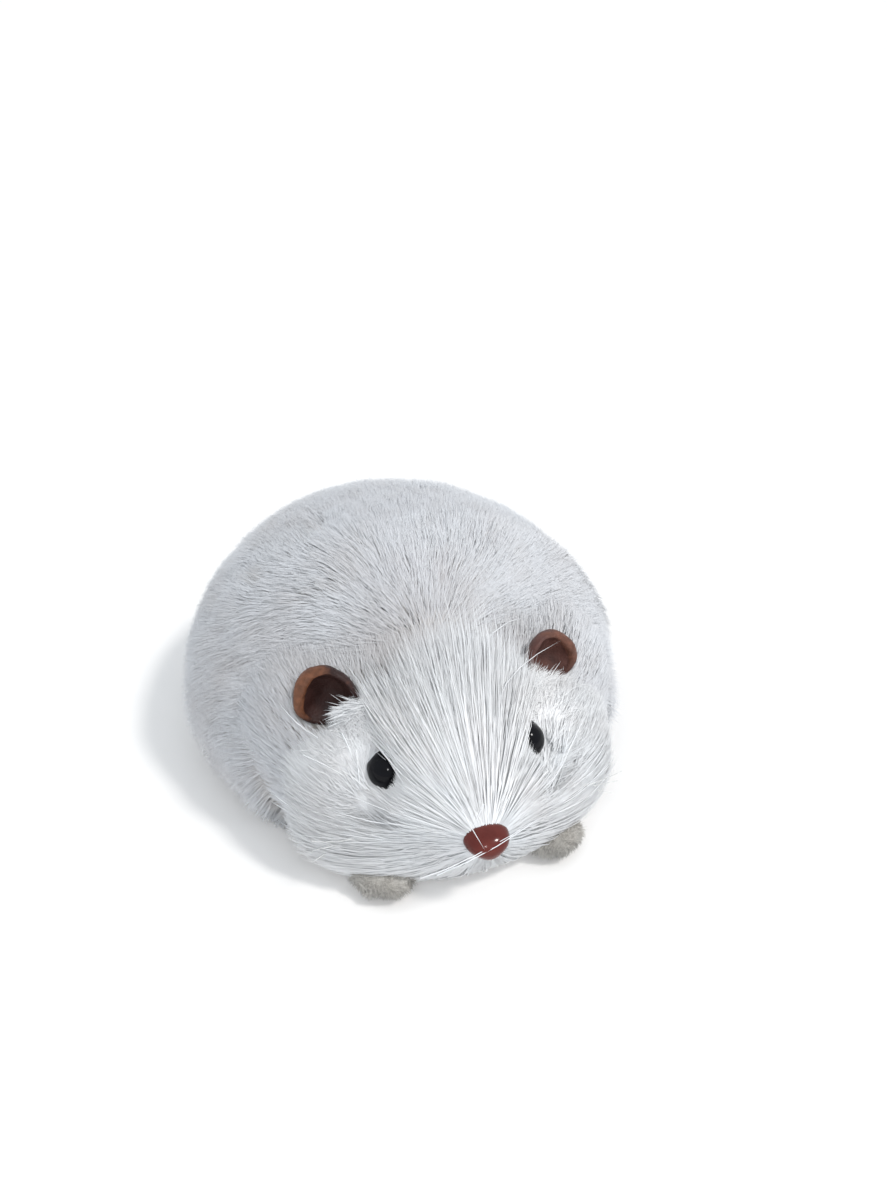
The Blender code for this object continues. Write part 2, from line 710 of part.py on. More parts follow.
def make_key_bush(root, mat):
    bore = ARBOR_R + 0.2
    end = KEY_HUB_X[0] - GAP
    profile = [(BUSH_X, bore), (BUSH_X, BUSH_R), (BUSH_FLANGE_X, BUSH_R), (BUSH_FLANGE_X, BUSH_R + 1.0)]
    profile += [(end, BUSH_R + 1.0), (end, bore)]
    bush = as_object("key_bush", turned(profile, SHAFT_SIDES, bored=True), mat["brass"], root)
    bush.location = Vector((0.0, *ARBOR_AXIS)) * MM


def spring_path():
    """The coiled mainspring from the arbor outward, then across to its pillar and around it."""
    turns, inner, outer = SPRING_COIL
    anchor = (PILLARS["spring"][0] - ARBOR_AXIS[0], PILLARS["spring"][1] - ARBOR_AXIS[1])
    end = direction((0.0, 0.0), anchor) - math.radians(38.0)
    steps = int(turns * 16)
    points = []
    for i in range(steps + 1):
        share = i / steps
        radius = inner + (outer - inner) * share
        angle = end - math.tau * turns * (1.0 - share)
        points.append((radius * math.cos(angle), radius * math.sin(angle)))
    hook = PILLAR_R + 0.65
    for degrees in range(-110, 81, 38):
        angle = math.radians(degrees)
        points.append((anchor[0] + hook * math.cos(angle), anchor[1] + hook * math.sin(angle)))
    return points


def ribbon(points, thickness):
    """The closed outline of a strip of even thickness along a path."""
    left, right = [], []
    for i, point in enumerate(points):
        before = Vector(points[max(i - 1, 0)])
        after = Vector(points[min(i + 1, len(points) - 1)])
        along = (after - before).normalized()
        across = Vector((-along.y, along.x)) * thickness / 2
        left.append(tuple(Vector(point) + across))
        right.append(tuple(Vector(point) - across))
    return left + right[::-1]


def make_mainspring(root, mat):
    spring = as_object("mainspring", prism([ribbon(spring_path(), SPRING_T)], *SPRING_X), mat["spring"], root)
    spring.location = Vector((0.0, *ARBOR_AXIS)) * MM


def make_intermediate(axis, mat):
    shaft("intermediate_arbor", SHAFT_R, -SHAFT_END, SHAFT_END, mat["steel"], axis)
    bore = SHAFT_R + FIXED
    phase = direction(INTERMEDIATE_AXIS, ARBOR_AXIS) + math.pi / PINION_TEETH
    gear("intermediate_pinion", PINION_TEETH, phase, PINION_X, PINION_T, bore, mat["steel"], axis)
    phase = direction(INTERMEDIATE_AXIS, DRIVE_AXIS)
    gear("intermediate_wheel", WHEEL_TEETH, phase, INTERMEDIATE_X, GEAR_T, bore, mat["brass"], axis)


def make_drive_axle(axis, mat):
    end = WHEEL_X + WHEEL_W / 2 + 0.8
    shaft("drive_axle", AXLE_R, -end, end, mat["steel"], axis)
    phase = direction(DRIVE_AXIS, INTERMEDIATE_AXIS) + math.pi / PINION_TEETH
    low = INTERMEDIATE_X - 0.7
    gear("drive_pinion", PINION_TEETH, phase, low, PINION_T, AXLE_R + 0.15, mat["steel"], axis)
    bore = AXLE_R + FIXED
    half = WHEEL_W / 2
    web = HUB_R - 2.0
    hub = [(-half - 0.8, bore), (-half - 0.8, 2.8), (-half + 0.4, 3.0), (-half + 1.2, web), (-half + 0.4, HUB_R)]
    hub += [(half - 0.4, HUB_R), (half - 1.2, web), (half - 0.4, 3.0), (half, 2.8), (half, bore)]
    tyre = [(-half, HUB_R + GAP), (-half, TYRE_R - 0.8), (-half + 0.8, TYRE_R), (half - 0.8, TYRE_R)]
    tyre += [(half, TYRE_R - 0.8), (half, HUB_R + GAP)]
    for side, name in ((1.0, "left"), (-1.0, "right")):
        for kind, profile, material in (("wheel_hub_", hub, "tin"), ("tyre_", tyre, "rubber")):
            placed = [(side * (WHEEL_X + along), radius) for along, radius in profile]
            as_object(kind + name, turned(placed, 22, bored=True), mat[material], axis)


def make_roller(axis, mat):
    shaft("roller_axle", SHAFT_R, -SHAFT_END, SHAFT_END, mat["steel"], axis)
    half = ROLLER_W / 2
    bore = SHAFT_R + FIXED
    profile = [(-half, bore), (-half, ROLLER_R - 0.8), (-half + 0.8, ROLLER_R), (half - 0.8, ROLLER_R)]
    profile += [(half, ROLLER_R - 0.8), (half, bore)]
    as_object("rear_roller", turned(profile, 22, bored=True), mat["rubber"], axis)


# Head


def face_ring(station, grow=0.0):
    y, half_width, top, bottom = station
    middle = (top + bottom) / 2
    half_height = (top - bottom) / 2 + grow
    ring = []
    for i in range(FACE_SIDES):
        angle = math.tau * i / FACE_SIDES
        c, s = math.cos(angle), math.sin(angle)
        power = 2.0 / FACE_POWER
        x = (half_width + grow) * math.copysign(abs(c) ** power, c)
        z = middle + half_height * math.copysign(abs(s) ** power, s)
        ring.append((x, y, z))
    return ring


def face_solid(name, stations, material, parent, grow=0.0):
    rings = [face_ring(station, grow) for station in stations]
    if grow:
        rings[-1] = [(x, y - grow, z) for x, y, z in rings[-1]]
    return as_object(name, loft(rings), material, parent)


def neck_rod(radius, low, high):
    """A rod across the neck plane, in the head screw's frame, whose Z axis points backward."""
    return turned([(low, 0.0), (low, radius), (high, radius), (high, 0.0)], 12, "Z")


def head_screw_frame():
    place = neck_frame() @ Matrix.Translation(Vector((0.0, 0.0, HEAD_SCREW_RISE)) * MM)
    return place @ Matrix.Rotation(math.radians(-90.0), 4, "X")


def eye_frame(side):
    return frame_towards(mirrored(EYE_AT, side), mirrored(EYE_FACING, side), (0.0, 0.0, 1.0))


def ear_frame(side):
    """Ear frame: Z looks out of the cup and Y points up to the ear's tip."""
    return frame_towards(mirrored(EAR_AT, side), mirrored(EAR_FACING, side), mirrored(EAR_UP, side))


def eye_pocket(name, side, root):
    profile = [(-3.4, 0.0), (-3.4, EYE_R + 0.5), (12.0, EYE_R + 0.5), (12.0, 0.0)]
    return as_object(name, turned(profile, 12, "Z"), None, root, eye_frame(side))


def shank_hole(name, side, root):
    profile = [(-9.0, 0.0), (-9.0, 1.1), (0.0, 1.1), (0.0, 0.0)]
    return as_object(name, turned(profile, 8, "Z"), None, root, eye_frame(side))


def ear_pocket(name, side, root):
    profile = [(-EAR_T - 3.6, 0.0), (-EAR_T - 3.6, EAR_R + 0.5), (3.0, EAR_R + 0.5), (3.0, 0.0)]
    return as_object(name, turned(profile, 14, "Z"), None, root, ear_frame(side))


def ear_slot(name, side, root):
    low = (-2.3, -EAR_STEM - GAP, -EAR_T - 2.3)
    return as_object(name, block(low, (2.3, 0.0, -1.7)), None, root, ear_frame(side))


def paw_solid(name, side, grow, material, parent):
    rings = []
    for step in range(1, 6):
        rise = math.radians(-90.0 + 30.0 * step)
        shrink = math.cos(rise)
        ring = []
        for i in range(12):
            angle = math.tau * i / 12
            x = side * PAW_AT[0] + (PAW_HALF[0] + grow) * shrink * math.cos(angle)
            y = PAW_AT[1] + (PAW_HALF[1] + grow) * shrink * math.sin(angle)
            ring.append((x, y, PAW_Z + (PAW_HALF[2] + grow) * math.sin(rise)))
        rings.append(ring)
    return as_object(name, loft(rings), material, parent)


def wedge(name, degrees, root):
    """A sector of the face, between two directions seen from the front, as a long prism along Y."""
    centre = (0.0, 17.0)
    low, high = math.radians(degrees[0]), math.radians(degrees[1])
    shift = SWATCH_GAP / 2 / math.sin((high - low) / 2)
    middle = (low + high) / 2
    start = (centre[0] + shift * math.cos(middle), centre[1] + shift * math.sin(middle))
    steps = 4
    rim = [low + (high - low) * i / steps for i in range(steps + 1)]
    outline = [start] + [(centre[0] + 120.0 * math.cos(a), centre[1] + 120.0 * math.sin(a)) for a in rim]
    bm = bmesh.new()
    near = [bm.verts.new((x, -90.0, z)) for x, z in outline]
    far = [bm.verts.new((x, 10.0, z)) for x, z in outline]
    for i in range(len(outline)):
        j = (i + 1) % len(outline)
        bm.faces.new((near[i], near[j], far[j], far[i]))
    bm.faces.new(near)
    bm.faces.new(far)
    return as_object(name, bm, None, root)


def make_face(root, mat):
    """The face's fur, in three swatches that meet along seams from the nose to the ears and chin."""
    core = face_solid("core_clearance", CORE, None, root, GAP)
    behind = neck_block("face_back", root, -0.4, False)
    bore = [(-70.0, 0.0), (-70.0, NOSE_HOLE_R), (NOSE_HOLE_END_Y, NOSE_HOLE_R), (NOSE_HOLE_END_Y, 0.0)]
    nose_hole = as_object("nose_hole", turned(bore, 10, "X"), None, root)
    nose_hole.rotation_euler = (0.0, 0.0, math.radians(90.0))
    nose_hole.location = Vector((0.0, 0.0, NOSE_Z)) * MM
    shared = [behind, core, nose_hole]
    for side, name in ((1.0, "left"), (-1.0, "right")):
        shared.append(eye_pocket("eye_pocket_" + name, side, root))
        shared.append(shank_hole("shank_hole_" + name, side, root))
        shared.append(ear_pocket("ear_pocket_" + name, side, root))
        shared.append(ear_slot("ear_slot_" + name, side, root))
        shared.append(paw_solid("paw_clearance_" + name, side, 0.4, None, root))
    shared += whisker_bores(root)
    for name, degrees in SWATCH_SECTORS.items():
        swatch = face_solid(name, FACE, mat["bristle"], root)
        cut(swatch, wedge("sector_of_" + name, degrees, root), "INTERSECT")
        for tool in shared:
            cut(swatch, tool)


def make_head_core(root, mat):
    core = face_solid("head_core", CORE, mat["wood"], root)
    cut(core, neck_block("core_back", root, 0.7, False))
    cut(core, as_object("head_screw_pilot", neck_rod(1.3, -11.0, 5.0), None, root, head_screw_frame()))
    for side, name in ((1.0, "left"), (-1.0, "right")):
        cut(core, bpy.data.objects["eye_pocket_" + name])
        cut(core, bpy.data.objects["shank_hole_" + name])
        cut(core, bpy.data.objects["ear_slot_" + name])
        cut(core, bpy.data.objects["paw_clearance_" + name])
    cut(core, bpy.data.objects["nose_hole"])
    for bore in WHISKERS:
        cut(core, bpy.data.objects["whisker_bore_" + bore])
    profile = [(-10.0, 0.0), (-10.0, 1.0), (2.9, 1.0), (2.9, 2.3), (4.0, 2.3), (4.6, 1.6), (4.6, 0.0)]
    as_object("head_screw", turned(profile, 14, "Z"), mat["steel"], root, head_screw_frame())


def make_eyes(root, mat):
    profile = [(-7.6, 0.0), (-7.6, 0.8), (-3.0, 0.8), (-3.0, EYE_R)]
    for degrees in (0, 22, 44, 66):
        angle = math.radians(degrees)
        profile.append((EYE_R * math.sin(angle), EYE_R * math.cos(angle)))
    profile.append((EYE_R, 0.0))
    for side, name in ((1.0, "left"), (-1.0, "right")):
        as_object("eye_" + name, turned(profile, 14, "Z"), mat["eye"], root, eye_frame(side))


def make_ears(root, mat):
    """Each ear is a leather cup on a flat stem that is glued into a slot in the head."""
    outside, inside = [], []
    for degrees in (62, 34, 8):
        angle = math.radians(degrees)
        along, radius = -EAR_DEPTH * math.sin(angle), EAR_R * math.cos(angle)
        outside.append((along - EAR_T, radius))
        inside.insert(0, (along, radius - EAR_LIP))
    profile = [(-EAR_DEPTH - EAR_T, 0.0), *outside, *inside, (-EAR_DEPTH, 0.0)]
    for side, name in ((1.0, "left"), (-1.0, "right")):
        ear = as_object("ear_" + name, turned(profile, 16, "Z"), mat["leather"], root, ear_frame(side))
        stem = block((-2.0, -EAR_STEM, -EAR_T - 2.0), (2.0, -EAR_R + 1.5, -2.0))
        cut(ear, as_object("ear_stem_" + name, stem, None, root, ear_frame(side)), "UNION")


def make_nose(root, mat):
    """A rounded, flat-topped triangle with a shank into the head."""
    rings = []
    for share, size in ((0.0, 0.55), (0.12, 0.85), (0.35, 1.0), (0.65, 0.95), (0.88, 0.72), (1.0, 0.4)):
        y = NOSE_Y[1] + (NOSE_Y[0] - NOSE_Y[1]) * share
        ring = []
        for i in range(16):
            angle = math.tau * i / 16
            low = max(0.0, -math.sin(angle))
            x = NOSE_HALF[0] * size * math.cos(angle) * (1.0 - 0.35 * low)
            ring.append((x, y, NOSE_Z + NOSE_HALF[1] * size * math.sin(angle)))
        rings.append(ring)
    nose = as_object("nose", loft(rings), mat["nose"], root)
    profile = [(0.0, 0.0), (0.0, 1.2), (6.6, 1.2), (6.6, 0.0)]
    place = frame_towards((0.0, -58.5, NOSE_Z), (0.0, 1.0, 0.0), (0.0, 0.0, 1.0))
    cut(nose, as_object("nose_shank", turned(profile, 10, "Z"), None, root, place), "UNION")


def whisker_points(level):
    """A strand straight through the muzzle, then sweeping forward and up or down on both sides."""
    y, z, lift = level
    half = []
    for i in range(1, 6):
        share = i / 5
        bend = share**1.6
        half.append((WHISKER_STRAIGHT + WHISKER_REACH * share, y - WHISKER_FORWARD * bend, z + lift * bend))
    left = [(WHISKER_STRAIGHT, y, z)] + half
    right = [(-x, py, pz) for x, py, pz in left]
    return right[::-1] + left


def whisker_bores(root):
    bores = []
    for name, (y, z, _) in WHISKERS.items():
        bores.append(rod_cutter("whisker_bore_" + name, root, WHISKER_BORE, (-40.0, 40.0), (y, z), 8))
    return bores


def make_whiskers(root, mat):
    for name, level in WHISKERS.items():
        points = whisker_points(level)
        rings = []
        for i, point in enumerate(points):
            before = Vector(points[max(i - 1, 0)])
            after = Vector(points[min(i + 1, len(points) - 1)])
            along = (after - before).normalized()
            side = along.cross(Vector((0.0, 0.0, 1.0))).normalized()
            up = side.cross(along)
            taper = 1.0 - 0.5 * abs(point[0]) / (WHISKER_STRAIGHT + WHISKER_REACH)
            spots = circle((0.0, 0.0), WHISKER_R * taper, 5)
            rings.append([tuple(Vector(point) + side * a + up * b) for a, b in spots])
        as_object("whisker_" + name, loft(rings), mat["nylon"], root)


def make_paws(root, mat):
    for side, name in ((1.0, "left"), (-1.0, "right")):
        paw_solid("front_paw_" + name, side, 0.0, mat["plush"], root)


# Tail


def make_tail(root, mat):
    rings = []
    for i, (y, z, half_width, half_thickness) in enumerate(TAIL):
        before = Vector(TAIL[max(i - 1, 0)][:2])
        after = Vector(TAIL[min(i + 1, len(TAIL) - 1)][:2])
        along = (after - before).normalized()
        across = Vector((-along.y, along.x))
        free = max(0.0, (y - BODY_REAR) / (TAIL_TIP_Y - BODY_REAR))
        x = TAIL_SWEEP * math.sin(math.pi * free) * free
        ring = []
        for a, b in circle((0.0, 0.0), 1.0, 10):
            off = across * half_thickness * b
            ring.append((x + half_width * a, y + off.x, z + off.y))
        rings.append(ring)
    tail = as_object("tail", loft(rings), mat["leather"], root)
    place = frame_towards((0.0, TAIL_RIVET_Y, TAIL_RIVET_Z), (0.0, 1.0, 0.0), (0.0, 0.0, 1.0))
    hole = turned([(0.0, 0.0), (0.0, 1.1), (8.0, 1.1), (8.0, 0.0)], 12, "Z", turn=0.2)
    cut(tail, as_object("tail_hole", hole, None, root, place))
    head, shank, (low, high) = TAIL_RIVET_HEAD_R, TAIL_RIVET_R, TAIL_RIVET_GRIP
    profile = [(low - 1.0, 0.0), (low - 1.0, head), (low, head), (low, shank), (high, shank), (high, head)]
    profile += [(high + 0.8, head - 0.4), (high + 0.8, 0.0)]
    as_object("tail_rivet", turned(profile, 12, "Z"), mat["brass"], root, place)


def build():
    clear_scene()
    mat = make_materials()
    root = empty("mouse_origin", (0.0, -ORIGIN_Y, 0.0))
    make_pelt(root, mat)
    make_shell(root, mat)
    make_floor_plate(root, mat)
    make_base_screws(root, mat)
    make_frame(root, mat)
    make_mainspring(root, mat)
    make_key_bush(root, mat)
    arbor_axis = empty("great_wheel_axis", (0.0, *ARBOR_AXIS), root)
    make_great_wheel(arbor_axis, mat)
    make_arbor(arbor_axis, mat)
    make_key(arbor_axis, mat)
    make_intermediate(empty("intermediate_axis", (0.0, *INTERMEDIATE_AXIS), root), mat)
    make_drive_axle(empty("drive_axis", (0.0, *DRIVE_AXIS), root), mat)
    make_roller(empty("roller_axis", (0.0, *ROLLER_AXIS), root), mat)
    make_face(root, mat)
    make_head_core(root, mat)
    make_eyes(root, mat)
    make_ears(root, mat)
    make_nose(root, mat)
    make_whiskers(root, mat)
    make_paws(root, mat)
    make_tail(root, mat)


build()
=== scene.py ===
"""The looks of a white furry clockwork mouse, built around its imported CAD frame.

Lengths are millimetres in the frame's own axes: the mouse faces -Y and stands on z = 0. The scales of
noise in materials are per metre. All fur is geometry: each fibre is a closed, tapered, three-sided strand.
"""
import math

import bmesh
import bpy
import numpy as np
from mathutils import Euler, Matrix, Vector, kdtree, noise


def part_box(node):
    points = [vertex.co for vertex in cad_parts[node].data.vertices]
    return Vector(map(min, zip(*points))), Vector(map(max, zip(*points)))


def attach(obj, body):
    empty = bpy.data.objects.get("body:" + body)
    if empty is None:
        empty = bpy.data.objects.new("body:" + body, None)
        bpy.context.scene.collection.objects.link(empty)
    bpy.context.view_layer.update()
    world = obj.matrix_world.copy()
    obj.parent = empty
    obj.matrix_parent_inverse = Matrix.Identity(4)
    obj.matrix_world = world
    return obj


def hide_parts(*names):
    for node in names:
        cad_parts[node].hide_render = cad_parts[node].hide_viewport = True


MM = 0.001
TAU = math.tau
FAR = 120.0

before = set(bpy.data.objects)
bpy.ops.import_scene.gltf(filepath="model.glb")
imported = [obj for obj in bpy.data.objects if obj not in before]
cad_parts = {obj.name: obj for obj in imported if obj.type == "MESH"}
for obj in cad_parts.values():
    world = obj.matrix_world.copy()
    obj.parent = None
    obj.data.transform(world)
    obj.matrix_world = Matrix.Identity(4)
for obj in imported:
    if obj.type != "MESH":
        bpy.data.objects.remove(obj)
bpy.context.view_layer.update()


def box_mm(node):
    low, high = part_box(node)
    return np.array(low) / MM, np.array(high) / MM


# The body's dome, by the same rule as the CAD pelt

PELT_LOW, PELT_HIGH = box_mm("body_fur")
HALF_WIDTH = PELT_HIGH[0]
TOP = PELT_HIGH[2]
WIDEST_Y = -18.0
WIDEST_Z = 12.5
REAR = PELT_HIGH[1] - WIDEST_Y
FRONT = 78.0
FRONT_TAPER = 0.37
FUR_BOTTOM = PELT_LOW[2]
UNDERCUT = 0.12
NECK_DROP = 0.34
NECK_DROP_Y = 32.0
NECK_LOW = np.array([-52.0, 0.0])
NECK_HIGH = np.array([-39.0, 45.0])
KEY_AXIS = np.array([-1.0, 20.0])
RECESS_R = 12.5
TAIL_SLOT = 4.4


def plan_point(angle, inset):
    across = (HALF_WIDTH - inset) * np.cos(angle)
    along = np.sin(angle)
    back = along >= 0.0
    x = np.where(back, across, across * (1.0 + FRONT_TAPER * along))
    y = np.where(back, (REAR - inset) * along, (FRONT - inset) * along)
    return x, y


def dome_point(angle, level, inset):
    """Points of the dome: level runs from -1 at the hem through 0 at the widest ring to 1 at the top."""
    x, y = plan_point(angle, inset)
    rise = np.clip(level, 0.0, 1.0) * math.pi / 2
    ahead = np.maximum(0.0, -plan_point(angle, 0.0)[1] * np.cos(rise))
    share = np.minimum(1.0, ahead / NECK_DROP_Y)
    drop = 1.0 - NECK_DROP * share**2 * (3.0 - 2.0 * share)
    below = np.clip(-level, 0.0, 1.0)
    shrink = np.cos(rise) * (1.0 - UNDERCUT * below**1.6)
    z = WIDEST_Z - below * (WIDEST_Z - FUR_BOTTOM) + (TOP - inset - WIDEST_Z) * np.sin(rise) * drop
    return np.stack([x * shrink, y * shrink + WIDEST_Y, z], axis=-1)


def smooth_step(value, low, high):
    share = np.clip((value - low) / (high - low), 0.0, 1.0)
    return share * share * (3.0 - 2.0 * share)


def unit(vectors):
    return vectors / np.maximum(np.linalg.norm(vectors, axis=-1, keepdims=True), 1e-9)


def dome_normal(angle, level, inset):
    step = 0.01
    level = np.clip(level, -1.0 + step, 1.0 - 2.0 * step)
    around = dome_point(angle + step, level, inset) - dome_point(angle - step, level, inset)
    upward = dome_point(angle, level + step, inset) - dome_point(angle, level - step, inset)
    return unit(np.cross(around, upward))


def behind_neck(points):
    """How far points lie behind the plane where the head joins the body."""
    along = unit(NECK_HIGH - NECK_LOW)
    return (points[..., 1] - NECK_LOW[0]) * along[1] - (points[..., 2] - NECK_LOW[1]) * along[0]


def neck_place():
    """The neck's plane as a matrix: its Y axis looks back through the body."""
    lean = math.atan2(NECK_HIGH[0] - NECK_LOW[0], NECK_HIGH[1] - NECK_LOW[1])
    return Matrix.Translation((0.0, NECK_LOW[0] * MM, NECK_LOW[1] * MM)) @ Matrix.Rotation(-lean, 4, "X")


def from_key(points):
    """Distance from the key's axis, on the side that the key is on."""
    reach = np.hypot(points[..., 1] - KEY_AXIS[0], points[..., 2] - KEY_AXIS[1])
    return np.where(points[..., 0] > 0.0, reach, 1e3)


# Meshes


def link(name, mesh):
    piece = bpy.data.objects.new(name, mesh)
    bpy.context.scene.collection.objects.link(piece)
    return piece


def grid_mesh(name, points, closed=True, caps=True):
    """A closed skin through rings of points, given in millimetres as [ring][point]."""
    bm = bmesh.new()
    rings = [[bm.verts.new(Vector(p) * MM) for p in ring] for ring in points]
    for low, high in zip(rings, rings[1:]):
        for i in range(len(low) if closed else len(low) - 1):
            j = (i + 1) % len(low)
            bm.faces.new((low[i], low[j], high[j], high[i]))
    if caps:
        bm.faces.new(rings[0][::-1])
        bm.faces.new(rings[-1])
    bmesh.ops.recalc_face_normals(bm, faces=bm.faces)
    mesh = bpy.data.meshes.new(name)
    bm.to_mesh(mesh)
    bm.free()
    mesh.shade_smooth()
    return link(name, mesh)


def applied(piece):
    """The piece with its modifiers applied."""
    graph = bpy.context.evaluated_depsgraph_get()
    mesh = bpy.data.meshes.new_from_object(piece.evaluated_get(graph))
    piece.modifiers.clear()
    piece.data = mesh
    return piece


def cut(target, tool):
    change = target.modifiers.new("cut", "BOOLEAN")
    change.object = tool
    change.solver = "EXACT"
    applied(target)
    bpy.data.objects.remove(tool)


def block(name, low, high, matrix=Matrix.Identity(4)):
    bm = bmesh.new()
    bmesh.ops.create_cube(bm, size=1.0)
    size = Vector(high) - Vector(low)
    middle = (Vector(high) + Vector(low)) / 2
    bm.transform(matrix @ Matrix.Translation(middle * MM) @ Matrix.Diagonal((*(size * MM), 1.0)))
    mesh = bpy.data.meshes.new(name)
    bm.to_mesh(mesh)
    bm.free()
    return link(name, mesh)


def rod(name, radius, x_low, x_high, axis, sides=64):
    rings = []
    for x in (x_low, x_high):
        spots = [TAU * i / sides for i in range(sides)]
        rings.append([(x, axis[0] + radius * math.cos(a), axis[1] + radius * math.sin(a)) for a in spots])
    return grid_mesh(name, rings)


def store(mesh, name, values, domain="POINT"):
    attribute = mesh.attributes.new(name, "FLOAT", domain)
    attribute.data.foreach_set("value", np.asarray(values, np.float32).ravel())


def strand_faces(stations):
    """The faces of one strand: rings of three corners, then the tip."""
    sides = []
    for ring in range(stations - 2):
        for corner in range(3):
            after = (corner + 1) % 3
            sides.append((3 * ring + corner, 3 * ring + 3 + corner, 3 * ring + 3 + after, 3 * ring + after))
    last = 3 * (stations - 2)
    tip = last + 3
    ends = [(last + corner, tip, last + (corner + 1) % 3) for corner in range(3)]
    ends.append((0, 1, 2))
    return sides, ends


def strand_piece(name, lines, radius, skin, tint_and_shade, material, slot, softness=0.6):
    """One closed tapered spike around each centre line.

    lines is (strand, station, xyz), radius (strand, station - 1), skin the surface normal under each
    strand, and tint one number per strand that sets its tone; in the fur this number also holds painted
    shade. softness says how far the shading follows the skin.
    """
    count, stations = lines.shape[:2]
    along = unit(np.gradient(lines, axis=1))[:, :-1]
    side = unit(np.cross(along, skin[:, None, :] + 1e-4))
    lift = np.cross(side, along)
    corners = []
    for corner in range(3):
        angle = TAU * corner / 3 - math.pi / 6
        corners.append(side * math.cos(angle) + lift * math.sin(angle))
    corners = np.stack(corners, axis=2)
    rings = lines[:, :-1, None, :] + radius[:, :, None, None] * corners
    per_strand = 3 * (stations - 1) + 1
    points = np.concatenate([rings.reshape(count, -1, 3), lines[:, -1:, :]], axis=1)
    normals = unit(softness * skin[:, None, None, :] + (1.0 - softness) * corners).reshape(count, -1, 3)
    tip_normals = unit(skin * softness + along[:, -1] * (1.0 - softness))
    normals = np.concatenate([normals, tip_normals[:, None, :]], axis=1)

    quads, triangles = strand_faces(stations)
    start = (np.arange(count) * per_strand)[:, None, None]
    quad_loops = (start + np.array(quads)[None]).reshape(count, -1)
    triangle_loops = (start + np.array(triangles)[None]).reshape(count, -1)
    loops = np.concatenate([quad_loops, triangle_loops], axis=1).ravel()
    sizes = np.tile([4] * len(quads) + [3] * len(triangles), count)
    starts = np.concatenate([[0], np.cumsum(sizes)[:-1]])

    mesh = bpy.data.meshes.new(name)
    mesh.vertices.add(count * per_strand)
    mesh.vertices.foreach_set("co", (points * MM).astype(np.float32).ravel())
    mesh.loops.add(len(loops))
    mesh.loops.foreach_set("vertex_index", loops.astype(np.int32))
    mesh.polygons.add(len(starts))
    mesh.polygons.foreach_set("loop_start", starts.astype(np.int32))
    mesh.update(calc_edges=True)
    mesh.shade_smooth()

    share = np.repeat(np.linspace(0.0, 1.0, stations)[:-1], 3)
    share = np.append(share, 1.0)
    store(mesh, "from_root", np.tile(share, count))
    store(mesh, "tint_and_shade", np.repeat(tint_and_shade, per_strand))
    lay_out(mesh, loops, count, per_strand, share)
    mesh.normals_split_custom_set_from_vertices(normals.reshape(-1, 3))
    finished(link(name, mesh), material, slot)


def lay_out(mesh, loops, count, per_strand, share):
    """UVs that give each strand a narrow upright cell of its own, root at the bottom."""
    columns = max(1, int(math.sqrt(count * 5.5)))
    rows = math.ceil(count / columns)
    strand = loops // per_strand
    corner = loops % per_strand
    across = 0.25 + 0.25 * (corner % 3)
    u = (strand % columns + across) / columns
    v = (strand // columns + 0.08 + 0.84 * share[corner]) / rows
    layer = mesh.uv_layers.new(name="OFBake")
    layer.data.foreach_set("uv", np.stack([u, v], axis=1).astype(np.float32).ravel())


def ride(piece, slot, *nodes, body="body"):
    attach(piece, body)
    if nodes:
        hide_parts(*nodes)
    return piece


def finished(piece, material, slot, *nodes):
    piece.data.materials.append(material)
    return ride(piece, slot, *nodes)


# Materials


def principled(name, colour, roughness, metallic=0.0, **sockets):
    material = bpy.data.materials.new(name)
    material.use_nodes = True
    shader = material.node_tree.nodes["Principled BSDF"]
    shader.inputs["Base Color"].default_value = (*colour, 1.0)
    shader.inputs["Roughness"].default_value = roughness
    shader.inputs["Metallic"].default_value = metallic
    for socket, value in sockets.items():
        shader.inputs[socket.replace("_", " ")].default_value = value
    return material, shader


